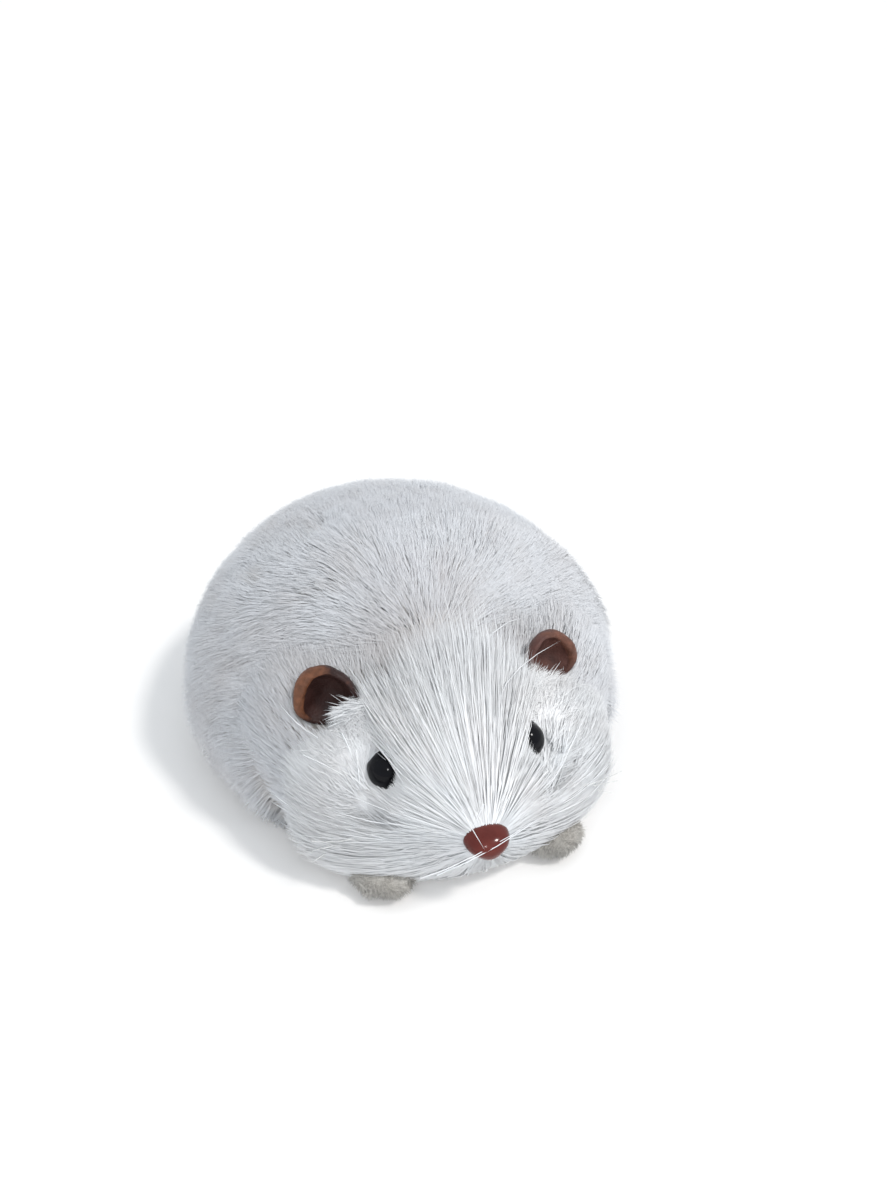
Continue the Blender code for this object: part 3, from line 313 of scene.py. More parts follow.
class Nodes:
    """Short calls for building one material's nodes."""

    def __init__(self, material, shader):
        self.tree = material.node_tree
        self.shader = shader
        self.place = self.tree.nodes.new("ShaderNodeTexCoord").outputs["Object"]

    def new(self, kind, **values):
        node = self.tree.nodes.new("ShaderNode" + kind)
        for key, value in values.items():
            if hasattr(node, key):
                setattr(node, key, value)
            else:
                node.inputs[key.replace("_", " ")].default_value = value
        return node

    def join(self, output, socket):
        self.tree.links.new(output, socket)

    def stretched(self, scale):
        node = self.new("Mapping")
        node.inputs["Scale"].default_value = scale
        self.join(self.place, node.inputs["Vector"])
        return node.outputs["Vector"]

    def noise(self, scale, detail=4.0, roughness=0.55, where=None):
        node = self.new("TexNoise", Scale=scale, Detail=detail, Roughness=roughness)
        self.join(where or self.place, node.inputs["Vector"])
        return node.outputs["Fac"]

    def cells(self, scale, feature="DISTANCE_TO_EDGE", where=None):
        node = self.new("TexVoronoi", feature=feature, Scale=scale)
        self.join(where or self.place, node.inputs["Vector"])
        return node.outputs["Distance"]

    def attribute(self, name):
        return self.new("Attribute", attribute_name=name).outputs["Fac"]

    def ramp(self, source, stops):
        node = self.new("ValToRGB")
        band = node.color_ramp
        while len(band.elements) < len(stops):
            band.elements.new(0.5)
        for element, (at, colour) in zip(band.elements, stops):
            element.position = at
            element.color = (*colour, 1.0)
        self.join(source, node.inputs["Fac"])
        return node.outputs["Color"]

    def spread(self, source, low, high, source_low=0.3, source_high=0.7):
        node = self.new("MapRange", From_Min=source_low, From_Max=source_high, To_Min=low, To_Max=high)
        self.join(source, node.inputs["Value"])
        return node.outputs["Result"]

    def multiply(self, first, second, share=1.0):
        node = self.new("Mix", data_type="RGBA", blend_type="MULTIPLY")
        node.inputs["Factor"].default_value = share
        self.join(first, node.inputs["A"])
        self.join(second, node.inputs["B"])
        return node.outputs["Result"]

    def mix(self, factor, first, second):
        node = self.new("Mix", data_type="RGBA")
        self.join(factor, node.inputs["Factor"])
        self.join(first, node.inputs["A"])
        self.join(second, node.inputs["B"])
        return node.outputs["Result"]

    def maths(self, operation, first, second):
        node = self.new("Math", operation=operation)
        for socket, value in zip(node.inputs, (first, second)):
            if isinstance(value, float):
                socket.default_value = value
            else:
                self.join(value, socket)
        return node.outputs["Value"]

    def colour(self, output):
        self.join(output, self.shader.inputs["Base Color"])

    def roughness(self, output):
        self.join(output, self.shader.inputs["Roughness"])

    def bump(self, height, strength, distance):
        node = self.new("Bump", Strength=strength, Distance=distance * MM)
        self.join(height, node.inputs["Height"])
        self.join(node.outputs["Normal"], self.shader.inputs["Normal"])


def fibre_material(name, root, tip, dull, roughness, **sockets):
    """Fibres: root colour to tip colour along each strand, tinted strand by strand and in soft patches.
    The per-strand value also holds painted shade, which turns body fur strands in partings and just
    behind the crest towards the dull colour.
    """
    material, shader = principled(name, tip, roughness, **sockets)
    nodes = Nodes(material, shader)
    along = nodes.ramp(nodes.attribute("from_root"), [(0.0, root), (0.55, tip)])
    strand = nodes.ramp(nodes.attribute("tint_and_shade"), [(0.0, dull), (0.6, (1.0, 1.0, 1.0))])
    patch = nodes.ramp(nodes.noise(60.0, detail=2.0), [(0.3, (0.95, 0.93, 0.92)), (0.6, (1.0, 1.0, 1.0))])
    nodes.colour(nodes.multiply(nodes.multiply(along, strand), patch))
    return material


def down_material(name, light, dark):
    """The backing and underfur between the fibres."""
    material, shader = principled(name, light, 0.9)
    nodes = Nodes(material, shader)
    fine = nodes.noise(900.0, detail=6.0, roughness=0.7)
    nodes.colour(nodes.ramp(fine, [(0.3, dark), (0.62, light)]))
    nodes.bump(fine, 0.6, 0.4)
    return material


def leather_material(name, face, cut_edge):
    """Vegetable-tanned leather: dark on its faces, tan where the edge attribute marks a worn rim."""
    material, shader = principled(name, face, 0.5, Specular_IOR_Level=0.28)
    nodes = Nodes(material, shader)
    blotch = nodes.noise(320.0, detail=5.0, roughness=0.6)
    worn = nodes.maths("ADD", nodes.attribute("edge"), nodes.spread(blotch, -0.22, 0.22))
    dark = tuple(0.55 * c for c in face)
    surface = nodes.ramp(blotch, [(0.35, dark), (0.65, face)])
    shaded = tuple(0.6 * c for c in cut_edge)
    rim = nodes.ramp(nodes.noise(700.0, detail=5.0), [(0.35, shaded), (0.65, cut_edge)])
    nodes.colour(nodes.mix(nodes.spread(worn, 0.0, 1.0, 0.35, 0.75), surface, rim))
    nodes.roughness(nodes.spread(blotch, 0.38, 0.62))
    grain = nodes.cells(1500.0)
    crease = nodes.noise(420.0, detail=7.0, roughness=0.65)
    nodes.bump(nodes.maths("ADD", grain, crease), 0.5, 0.25)
    return material


def gloss_material(name, colour, streak, specular, coat):
    """Moulded plastic under a clear coat, with faint streaks and a little dust in its gloss."""
    sockets = {"Specular_IOR_Level": specular, "Coat_Weight": coat, "Coat_Roughness": 0.03}
    material, shader = principled(name, colour, 0.16, **sockets)
    nodes = Nodes(material, shader)
    cloud = nodes.noise(180.0, detail=3.0, where=nodes.stretched((1.0, 1.0, 2.5)))
    nodes.colour(nodes.ramp(cloud, [(0.35, streak), (0.65, colour)]))
    nodes.roughness(nodes.spread(nodes.noise(1400.0, detail=6.0), 0.10, 0.26))
    return material


def metal_material(name, light, dull, roughness, scratches=(1.0, 1.0, 14.0), size=260.0):
    """Bare metal: tarnish in patches, and fine scratches along one direction."""
    material, shader = principled(name, light, roughness[0], metallic=1.0)
    nodes = Nodes(material, shader)
    tarnish = nodes.noise(size, detail=5.0, roughness=0.65)
    nodes.colour(nodes.ramp(tarnish, [(0.35, dull), (0.62, light)]))
    nodes.roughness(nodes.spread(tarnish, roughness[1], roughness[0]))
    nodes.bump(nodes.noise(900.0, detail=3.0, where=nodes.stretched(scratches)), 0.15, 0.05)
    return material


def wood_material(name, light, dark):
    material, shader = principled(name, light, 0.6)
    nodes = Nodes(material, shader)
    rings = nodes.noise(160.0, detail=6.0, roughness=0.6, where=nodes.stretched((1.0, 0.12, 1.0)))
    nodes.colour(nodes.ramp(rings, [(0.35, dark), (0.6, light)]))
    nodes.roughness(nodes.spread(rings, 0.7, 0.5))
    nodes.bump(rings, 0.3, 0.15)
    return material


def paint_material(name, paint, worn):
    material, shader = principled(name, paint, 0.55)
    nodes = Nodes(material, shader)
    wear = nodes.noise(220.0, detail=7.0, roughness=0.7)
    nodes.colour(nodes.ramp(wear, [(0.28, worn), (0.36, paint)]))
    nodes.roughness(nodes.spread(wear, 0.4, 0.6))
    nodes.bump(nodes.noise(1300.0, detail=3.0), 0.15, 0.05)
    return material


def rubber_material(name, rubber, dusty):
    material, shader = principled(name, rubber, 0.75)
    nodes = Nodes(material, shader)
    dust = nodes.noise(380.0, detail=6.0, roughness=0.7)
    nodes.colour(nodes.ramp(dust, [(0.42, rubber), (0.72, dusty)]))
    nodes.roughness(nodes.spread(dust, 0.62, 0.85))
    nodes.bump(nodes.noise(1600.0, detail=2.0), 0.3, 0.08)
    return material


def nylon_material(name, colour):
    material, shader = principled(name, colour, 0.25, Transmission_Weight=0.25)
    nodes = Nodes(material, shader)
    haze = nodes.noise(500.0, detail=3.0)
    nodes.colour(nodes.ramp(haze, [(0.3, tuple(0.9 * c for c in colour)), (0.6, colour)]))
    nodes.roughness(nodes.spread(haze, 0.18, 0.34))
    return material


# Fur fibres: the dull colour is also where painted shade takes the strands in partings and behind the crest.
FUR = fibre_material(
    "fur_fibre", (0.80, 0.75, 0.70), (0.87, 0.885, 0.915), (0.78, 0.745, 0.71), 0.7, Sheen_Weight=0.3
)
BRISTLE = fibre_material(
    "bristle_fibre", (0.90, 0.92, 0.94), (0.955, 0.965, 0.975), (0.95, 0.955, 0.96), 0.38
)
PILE = fibre_material("plush_pile", (0.40, 0.38, 0.35), (0.66, 0.64, 0.60), (0.80, 0.80, 0.80), 0.8)
# Fur backing: darker and warmer than the fibre tips, partly its own tone and partly painted shade for the
# partings between strands.
DOWN = down_material("fur_backing", (0.84, 0.81, 0.78), (0.72, 0.67, 0.63))
BRISTLE_DOWN = down_material("bristle_backing", (0.74, 0.755, 0.78), (0.60, 0.61, 0.63))
PLUSH_BACKING = down_material("plush_backing", (0.56, 0.54, 0.50), (0.36, 0.34, 0.31))
# Painted light and shade: one ear leather in two copies, a darker shaded one for the ear on the mouse's
# right and a lighter lit one for the ear on its left.
SHADED_EAR_LEATHER = leather_material("leather_ear", (0.042, 0.016, 0.013), (0.19, 0.075, 0.038))
LIT_EAR_LEATHER = leather_material("leather_ear_lit_copy", (0.125, 0.052, 0.041), (0.17, 0.070, 0.045))
STRAP_LEATHER = leather_material("leather_strap", (0.17, 0.055, 0.030), (0.30, 0.11, 0.045))
EYE_BLACK = gloss_material("eye_plastic", (0.002, 0.002, 0.003), (0.004, 0.004, 0.006), 0.06, 0.2)
NOSE_BROWN = gloss_material("nose_plastic", (0.135, 0.026, 0.020), (0.095, 0.016, 0.012), 0.16, 0.2)
NYLON = nylon_material("nylon_strand", (0.92, 0.92, 0.90))
FINISHES = {
    "wood": wood_material("turned_wood", (0.58, 0.42, 0.26), (0.40, 0.26, 0.14)),
    "tinplate": metal_material("scuffed_tinplate", (0.66, 0.66, 0.64), (0.44, 0.44, 0.43), (0.30, 0.50)),
    "shell_paint": paint_material("primed_shell", (0.52, 0.51, 0.48), (0.30, 0.27, 0.24)),
    "brass": metal_material("tarnished_brass", (0.80, 0.58, 0.26), (0.50, 0.32, 0.12), (0.22, 0.42)),
    "steel": metal_material(
        "turned_steel", (0.58, 0.58, 0.59), (0.40, 0.40, 0.41), (0.22, 0.38), scratches=(14.0, 1.0, 1.0)
    ),
    "blued_spring": metal_material("blued_steel", (0.10, 0.13, 0.24), (0.16, 0.11, 0.12), (0.22, 0.35)),
    "rubber": rubber_material("moulded_rubber", (0.030, 0.030, 0.031), (0.085, 0.080, 0.074)),
}


def dress_frame():
    """Gives each CAD node that stays in view the finish of its slot."""
    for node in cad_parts.values():
        for place in node.material_slots:
            if place.material.name in FINISHES:
                place.material = FINISHES[place.material.name]


# Fibres


def noise_at(points, wavelength, offset=0.0):
    """Smooth noise from -1 to 1 at points."""
    shift = Vector((offset, -offset, 2.0 * offset))
    return np.array([noise.noise(Vector(p) / wavelength + shift) for p in points])


def resampled(lines, share, stations=None):
    """The first share of each centre line, at evenly spread stations."""
    count, old = lines.shape[:2]
    places = np.linspace(0.0, 1.0, stations or old)[None] * share[:, None] * (old - 1)
    lower = np.clip(np.floor(places).astype(int), 0, old - 2)
    part = (places - lower)[:, :, None]
    rows = np.arange(count)[:, None]
    return lines[rows, lower] * (1.0 - part) + lines[rows, lower + 1] * part


PROBES = 24


def stopped(lines, spaces, shortest):
    """Ends each line where it would enter a space. Also says which lines are still long enough to keep."""
    probe = resampled(lines, np.ones(len(lines)), PROBES)
    hit = np.zeros(probe.shape[:2], bool)
    for space in spaces:
        hit |= space(probe)
    first = np.where(hit.any(axis=1), hit.argmax(axis=1), PROBES)
    share = np.clip((first - 0.5) / (PROBES - 1), 0.0, 1.0)
    lines = resampled(lines, share)
    run = np.linalg.norm(np.diff(lines, axis=1), axis=2).sum(axis=1)
    return lines, run > shortest


def towards(at, facing, up):
    """The origin and axes of a frame whose Z looks along facing and whose Y leans to up."""
    z = unit(np.array(facing))
    x = unit(np.cross(up, z))
    return np.array(at), np.stack([x, np.cross(z, x), z])


def local(place, points):
    at, axes = place
    return (points - at) @ axes.T


def placed(place, points):
    at, axes = place
    return at + points @ axes


def mirrored(point, side):
    return (point[0] * side, point[1], point[2])


# The left eye and ear. The right ones are mirrored.
EYE_AT = (15.1, -59.2, 22.8)
EYE_FACING = (0.35, -0.80, 0.48)
EYE_R = 4.0
EYE_ROOM = 4.35
EYE_RAGGED = 2.0
EYE_BED = 0.55
EYE_VIEW = 14.0
EYE_CROSSED = {1.0: 0.3, -1.0: 0.4}
EAR_AT = (24.7, -48.7, 35.7)
EAR_UP = (0.45, 0.10, 0.88)
EAR_FACING = (0.28, -0.90, 0.10)
EAR_R = 6.8
EAR_T = 1.3
EAR_DEPTH = 3.2
EAR_STEM = 16.5
FUR_EAR_SPACE = (12.0,)
BRISTLE_EAR_SPACE = (20.0, 1.6)


def eye_frame(side):
    return towards(mirrored(EYE_AT, side), mirrored(EYE_FACING, side), (0.0, 0.0, 1.0))


def ear_frame(side):
    return towards(mirrored(EAR_AT, side), mirrored(EAR_FACING, side), mirrored(EAR_UP, side))


def disc_space(place, radius, low, high, shift=(0.0, 0.0), ragged=0.0):
    """The space in front of and behind a round disc. Ragged lets some lines further in."""

    def inside(points):
        p = local(place, points)
        reach = radius - ragged * np.random.default_rng(7).uniform(0.0, 1.0, (len(points), 1)) ** 2
        near = np.hypot(p[..., 0] - shift[0], p[..., 1] - shift[1]) < reach
        return near & (p[..., 2] > low) & (p[..., 2] < high)

    return inside


def eye_spaces(forehead):
    """The space before each eye that fibres keep out of. The forehead's may cross its inner part."""
    spaces = []
    for side, crossed in EYE_CROSSED.items():
        shift = side * crossed if forehead else 0.0
        ragged = EYE_RAGGED if forehead else 0.3
        spaces.append(disc_space(eye_frame(side), EYE_ROOM, -2.0, EYE_VIEW, (shift, 0.0), ragged))
    return spaces


def ear_spaces(ahead, shift=0.0):
    """The space of each ear's cup, and as far ahead of it."""
    spaces = []
    for side in (1.0, -1.0):
        low = -EAR_DEPTH - EAR_T
        spaces.append(disc_space(ear_frame(side), EAR_R + 0.3, low, ahead, (0.0, shift), 1.2 * shift))
    return spaces


def bedded(points, lift, forehead=False):
    """Lowers what surrounds each eye to a shallow cone. The forehead's fibres stay high on its inside."""
    for side in (1.0, -1.0):
        place = eye_frame(side)
        p = local(place, points)
        limit = lift + EYE_BED * np.maximum(0.0, np.hypot(p[..., 0], p[..., 1]) - EYE_R)
        share = 1.0 - smooth_step(-p[..., 0] * side, -1.0, 2.0) if forehead else 1.0
        sink = np.maximum(0.0, p[..., 2] - limit) * share * (p[..., 2] > -6.0) * (limit < 4.0)
        p[..., 2] -= sink
        points = placed(place, p)
    return points


def off_eyes(points):
    """Moves points that lie inside an eye's dome out to just above it."""
    for side in (1.0, -1.0):
        away = points - np.array(mirrored(EYE_AT, side))
        reach = np.linalg.norm(away, axis=-1, keepdims=True)
        outward = away * ((EYE_R + 0.3) / np.maximum(reach, 1e-6) - 1.0)
        points = np.where(reach < EYE_R + 0.3, points + outward, points)
    return points


def rings_round(place, profile, sides=64):
    """Rings of points turned round the frame's Z axis from (height, radius) pairs."""
    angles = np.linspace(0.0, TAU, sides, endpoint=False)
    rings = []
    for height, radius in profile:
        ring = np.stack([radius * np.cos(angles), radius * np.sin(angles), np.full(sides, height)], axis=-1)
        rings.append(placed(place, ring))
    return rings


# Body fur

FUR_ROOT = 6.0
FUR_LENGTH = 9.5
FUR_RADII = (0.105, 0.10, 0.07)
FUR_SOFTNESS = 0.93
FUR_STRANDS = 150000
LOCK_STRANDS = 70
WISP_STRANDS = 8
FUR_PIECES = (
    "right_flank", "right_flank_front", "right_shoulder", "right_nape", "left_nape",
    "left_shoulder", "left_flank_front", "left_flank", "left_flank_rear", "left_back", "left_rump",
    "right_rump", "right_back", "right_flank_rear",
)
NAPE = np.array([0.0, -52.0, 44.0])
# How far behind the neck plane the fur is darkened as painted shade cast by the crest.
CREST_SHADE_REACH = 7.0
# Where the fur is ruffled, as (x, y, reach, amount)
RUFFLED = (
    (-22.0, -14.0, 24.0, 1.0),
    (6.0, -22.0, 14.0, 0.6),
    (-36.0, -34.0, 14.0, 0.8),
    (-8.0, 14.0, 20.0, 0.5),
)
SMOOTH = 0.15
BACKING_EDGE = 1.5
BACKING_INNER = 8.0
LOWEST = 0.35


def scatter_dome(count, rng):
    """Random places on the dome, even by area, as (angle, level)."""
    angle = rng.uniform(0.0, TAU, count * 3)
    level = rng.uniform(-1.0, 1.0, count * 3)
    step = 0.005
    around = dome_point(angle + step, level, 0.0) - dome_point(angle - step, level, 0.0)
    upward = dome_point(angle, level + step, 0.0) - dome_point(angle, level - step, 0.0)
    area = np.linalg.norm(np.cross(around, upward), axis=-1)
    kept = rng.uniform(0.0, np.quantile(area, 0.999), len(area)) < area
    return angle[kept], level[kept]


def ruffle(points):
    """How unbrushed the fur is, up to 1 in the tufts over the right shoulder."""
    most = np.full(len(points), SMOOTH)
    for x, y, reach, amount in RUFFLED:
        away = np.hypot(points[:, 0] - x, points[:, 1] - y)
        most = np.maximum(most, amount * np.exp(-((away / reach) ** 2)))
    return most


def comb(points, normals):
    """The direction in which the nap lies: away from the nape, then swirled where it is ruffled."""
    flow = points - NAPE
    flow[:, 2] -= 6.0
    away_from_key = points - np.array([0.0, *KEY_AXIS])
    away_from_key[:, 0] = 0.0
    near_key = np.exp(-((np.minimum(from_key(points), 60.0) / 20.0) ** 4))[:, None]
    flow = unit(flow) + 2.0 * near_key * unit(away_from_key)
    flow = unit(flow - normals * (flow * normals).sum(axis=1, keepdims=True))
    turn = ruffle(points) * (1.3 * noise_at(points, 15.0) + 0.5 * noise_at(points, 6.0, 7.0))
    across = np.cross(normals, flow)
    return flow * np.cos(turn)[:, None] + across * np.sin(turn)[:, None]


def nap_lines(roots, normals, flow, length, upright, stations=4):
    """Centre lines that leave the skin at one tilt and bend over to a flatter one."""
    lines = [roots]
    for step in range(stations - 1):
        tilt = upright + (math.radians(74.0) - upright) * (step + 0.5) / (stations - 1)
        ahead = normals * np.cos(tilt)[:, None] + flow * np.sin(tilt)[:, None]
        lines.append(lines[-1] + ahead * (length / (stations - 1))[:, None])
    return np.stack(lines, axis=1)


def gather(lines, size, rng, strength, spread):
    """Draws each bunch of strands together towards its tips. Returns the lines and each strand's bunch."""
    roots = lines[:, 0]
    centres = rng.permutation(len(roots))[: max(1, len(roots) // size)]
    tree = kdtree.KDTree(len(centres))
    for i, c in enumerate(centres):
        tree.insert(roots[c], i)
    tree.balance()
    bunch = np.array([tree.find(p)[1] for p in roots])
    leader = lines[centres[bunch]]
    pull = strength[:, None] * np.linspace(0.0, 1.0, lines.shape[1])[None] ** 1.4
    loose = rng.normal(0.0, spread, lines.shape)
    return lines + (leader - lines + loose) * pull[:, :, None], bunch


def coat(roots, normals, flow, length, upright, rng):
    """Soft fur: single strands, drawn loosely into locks and wisps. Returns lines, radii and tints;
    the tints carry painted shade, darker in partings and in a band just behind the crest.
    """
    count = len(roots)
    ruffled = ruffle(roots)
    flow = flow + rng.normal(0.0, 0.27, flow.shape)
    flow = unit(flow - normals * (flow * normals).sum(axis=1, keepdims=True))
    lines = nap_lines(roots, normals, flow, length, upright)
    lines, lock = gather(lines, LOCK_STRANDS, rng, 0.03 + 0.37 * ruffled, 0.3)
    lines, _ = gather(lines, WISP_STRANDS, rng, rng.uniform(0.0, 0.22, count), 0.15)
    lines[:, :, 2] = np.maximum(lines[:, :, 2], LOWEST)
    radius = np.array(FUR_RADII)[None] * rng.uniform(0.75, 1.2, (count, 1))
    tint_and_shade = 0.3 + rng.uniform(0.0, 0.3, lock.max() + 1)[lock] + rng.uniform(0.0, 0.4, count)
    # Painted shade: strands are darkened in the ruffled partings, and high up just behind the neck, where
    # the crest throws its shade.
    parting_shade = ruffled * smooth_step(-noise_at(roots, 5.0, 11.0), 0.15, 0.6)
    nape = 1.0 - smooth_step(behind_neck(roots), 0.0, CREST_SHADE_REACH)
    nape *= smooth_step(roots[:, 2], 28.0, 36.0)
    return lines, radius, tint_and_shade * (1.0 - 0.75 * parting_shade) * (1.0 - 0.6 * nape)


def lay_fur(name, lines, radius, normals, tint_and_shade):
    strand_piece("fur_" + name, lines, radius, normals, tint_and_shade, FUR, "fur", FUR_SOFTNESS)


def make_body_fur():
    rng = np.random.default_rng(11)
    angle, level = scatter_dome(FUR_STRANDS, rng)
    envelope = dome_point(angle, level, 0.0)
    keep = (behind_neck(envelope) > -1.0) & (from_key(envelope) > RECESS_R + 0.3)
    keep &= ~((np.abs(envelope[:, 0]) < TAIL_SLOT) & (envelope[:, 1] > 0.0) & (envelope[:, 2] < TAIL_SLOT))
    angle, level = angle[keep][:FUR_STRANDS], level[keep][:FUR_STRANDS]
    roots = dome_point(angle, level, FUR_ROOT)
    normals = dome_normal(angle, level, FUR_ROOT)
    count = len(roots)
    length = FUR_LENGTH * rng.uniform(0.8, 1.1, count) * (1.0 + 0.10 * noise_at(roots, 8.0, 5.0))
    lean = 5.0 * noise_at(roots, 9.0, 3.0) * (0.4 + ruffle(roots))
    upright = np.radians(34.0 + lean + rng.normal(0.0, 5.0, count))
    lines, radius, tint_and_shade = coat(roots, normals, comb(roots, normals), length, upright, rng)
    lines, keep = stopped(lines, ear_spaces(*FUR_EAR_SPACE), 4.0)
    lines, radius, tint_and_shade, normals = lines[keep], radius[keep], tint_and_shade[keep], normals[keep]
    place = lines[:, 0]
    order = np.argsort(np.arctan2(place[:, 1] - WIDEST_Y, place[:, 0]), kind="stable")
    for name, members in zip(FUR_PIECES, np.array_split(order, len(FUR_PIECES))):
        lay_fur(name, lines[members], radius[members], normals[members], tint_and_shade[members])


def make_fur_backing():
    """The pelt's backing with its underfur: a closed skin below the fibres, open at neck, key and tail."""
    angles = np.linspace(0.0, TAU, 180, endpoint=False)
    levels = np.concatenate([np.linspace(-1.0, 0.0, 12), np.linspace(0.0, 0.985, 60)[1:]])
    rings = []
    for level in levels:
        here = (angles, np.full(len(angles), level), FUR_ROOT - 1.0)
        points = dome_point(*here)
        relief = noise_at(points, 4.0) * 0.5
        rings.append(points + dome_normal(*here) * relief[:, None])
    backing = grid_mesh("fur_backing", rings)
    inside = [dome_point(angles, np.full(len(angles), level), BACKING_INNER) for level in levels]
    inside[0][:, 2] = -5.0
    cut(backing, grid_mesh("inside", inside))
    cut(backing, block("before_neck", (-FAR, -FAR, -FAR), (FAR, BACKING_EDGE, FAR), neck_place()))
    cut(backing, rod("recess", RECESS_R, 30.0, 70.0, KEY_AXIS))
    cut(backing, block("tail_slot", (-TAIL_SLOT, 20.0, -5.0), (TAIL_SLOT, 70.0, TAIL_SLOT)))
    finished(backing, DOWN, "fur", "body_fur")


# Face

FACE_Y = np.array([-79.0, -77.5, -74.4, -70.0, -65.0, -59.0, -53.0, -46.0, -38.0, -30.0])
FACE_HALF_WIDTH = np.array([2.5, 5.2, 10.0, 19.0, 26.5, 32.5, 36.0, 39.0, 41.0, 41.5])
FACE_TOP = np.array([18.2, 19.2, 20.5, 22.0, 23.5, 26.5, 31.5, 39.5, 43.5, 45.5])
FACE_BOTTOM = np.array([13.6, 11.0, 6.5, 3.0, 1.2, 0.8, 0.8, 0.8, 0.8, 0.8])
FACE_POWER = 2.3
SEAM = math.radians(38.0)
ALL_ROUND = (-math.pi / 2, math.pi * 1.5)
CHEEK_EDGE_RISE = (-0.3, 0.0, 0.26, 0.41)
CHEEK_EDGE_Y = (-58.0, -56.5, -54.0, -51.2)
CHEEK_FLARE = 3.6
ROOTS_Y = (-78.6, -50.0)
MUZZLE_Y = (-76.6, -63.0)
LIDS_Y = (-63.0, -50.0)
CREST_Y = (-78.4, -62.0)
CREST_LAST_Y = -37.0
FACE_ROOT = 0.8
BASE_INSET = 1.2
BASE_EDGE = 2.2
BASE_THICKNESS = 1.5
FACE_FRONT = -77.4
SEAM_GAP = 0.003
COLLAR_SKIN = (5.6, 7.4)
BRISTLE_RADII = (0.115, 0.11, 0.10, 0.07)
BRISTLE_SOFTNESS = 0.88
COLLAR_STRANDS = 23000
COLLAR_INSET = 3.5
SWATCHES = {
    "forehead_left": (SEAM, math.radians(73.0), 8500),
    "forehead_middle": (math.radians(73.0), math.radians(107.0), 8500),
    "forehead_right": (math.radians(107.0), math.pi - SEAM, 8500),
    "cheek_left": (ALL_ROUND[0], SEAM, 9000),
    "cheek_right": (math.pi - SEAM, ALL_ROUND[1], 9000),
}
CREST_ANGLES = (58.0, 66.0, 72.0, 80.0, 87.0, 93.0, 100.0, 107.0, 113.0, 122.0)
CREST_ENDS = (-50.5, -48.5, -46.5, -45.0, -41.5, -43.5, -45.5, -48.5, -47.0, -49.5)
CREST_BRISTLES = 9000
CREST_SPREAD = math.radians(15.0)
CREST_HALF = math.radians(29.0)
CREST_HIGH = 9.5
SPIKE_BRISTLES = 60
MUZZLE_BRISTLES = 9000
LID_BRISTLES = 3000
LID_RELIEF = 2.4


def smooth_interp(at, places, values):
    """A smooth curve through a few given values."""
    slopes = np.gradient(values, places)
    i = np.clip(np.searchsorted(places, at) - 1, 0, len(places) - 2)
    gap = places[i + 1] - places[i]
    t = (at - places[i]) / gap
    rise = values[i + 1] - values[i]
    ease = 3 * t**2 - 2 * t**3
    inner = values[i] + rise * ease
    return inner + gap * (t * (1 - t) ** 2 * slopes[i] - t**2 * (1 - t) * slopes[i + 1])


def face_point(angle, y):
    """Points of the face's surface: angle runs round the muzzle from the mouse's left, over the top."""
    y = np.clip(y, FACE_Y[0], FACE_Y[-1])
    half_width = smooth_interp(y, FACE_Y, FACE_HALF_WIDTH)
    top = smooth_interp(y, FACE_Y, FACE_TOP)
    bottom = smooth_interp(y, FACE_Y, FACE_BOTTOM)
    c, s = np.cos(angle), np.sin(angle)
    power = 2.0 / FACE_POWER
    x = half_width * np.copysign(np.abs(c) ** power, c)
    z = (top + bottom) / 2 + (top - bottom) / 2 * np.copysign(np.abs(s) ** power, s)
    return np.stack([x, y + 0.0 * x, z], axis=-1)


def face_normal(angle, y):
    step = 0.02
    around = face_point(angle + step, y) - face_point(angle - step, y)
    back = face_point(angle, np.minimum(y + 0.4, FACE_Y[-1])) - face_point(angle, y - 0.4)
    return unit(np.cross(back, around))


def over_brow(angle):
    """1 over the forehead, falling to 0 at its seams with the cheeks."""
    return smooth_step(np.sin(angle), math.sin(SEAM), math.sin(SEAM) + 0.25)


def crest_end(angle):
    """How far back the crest's tips reach: in the middle over the nape, less far at its sides."""
    return np.interp(np.degrees(angle), CREST_ANGLES, CREST_ENDS)


def face_end(angle):
    """Where the bristles end: cut slanting forward down the cheeks, and further back over the forehead."""
    cheek = np.interp(np.sin(angle), CHEEK_EDGE_RISE, CHEEK_EDGE_Y)
    return cheek + (crest_end(angle) - cheek) * over_brow(angle)


def walk(angle, y, distance, steps=8):
    """The y reached by going back over the face's surface by a distance."""
    for _ in range(steps):
        ahead = face_point(angle, y + 0.3) - face_point(angle, y - 0.3)
        y = y + distance / steps * 0.6 / np.maximum(np.linalg.norm(ahead, axis=1), 0.3)
        y = np.minimum(y, FACE_Y[-1] - 0.5)
    return y


def taut_lines(angle, y_root, y_tip, sway, high, stations=5):
    """Straight fibres from the skin to tips that stand high over it, laid over whatever bulges between."""
    tip_angle = angle + sway
    root = face_point(angle, y_root) - face_normal(angle, y_root) * FACE_ROOT
    tip = face_point(tip_angle, y_tip) + face_normal(tip_angle, y_tip) * high[:, None]
    lines = []
    for share in np.linspace(0.0, 1.0, stations):
        straight = root + (tip - root) * share
        here = angle + sway * share
        y = y_root + (y_tip - y_root) * share
        normal = face_normal(here, y)
        least = (high + FACE_ROOT) * share**0.6 - FACE_ROOT
        sunk = ((face_point(here, y) - straight) * normal).sum(axis=1) + least
        lines.append(straight + normal * np.maximum(sunk, 0.0)[:, None])
    return np.stack(lines, axis=1)


def scatter_face(count, low_angle, high_angle, y_range, rng):
    """Random roots on a swatch, even by area."""
    angle = rng.uniform(low_angle, high_angle, count * 8)
    y = rng.uniform(*y_range, count * 8)
    around = face_point(angle + 0.01, y) - face_point(angle - 0.01, y)
    back = face_point(angle, y + 0.1) - face_point(angle, y - 0.1)
    area = np.linalg.norm(np.cross(around, back), axis=-1)
    keep = rng.uniform(0.0, np.quantile(area, 0.98), len(area)) < area
    return angle[keep], y[keep]


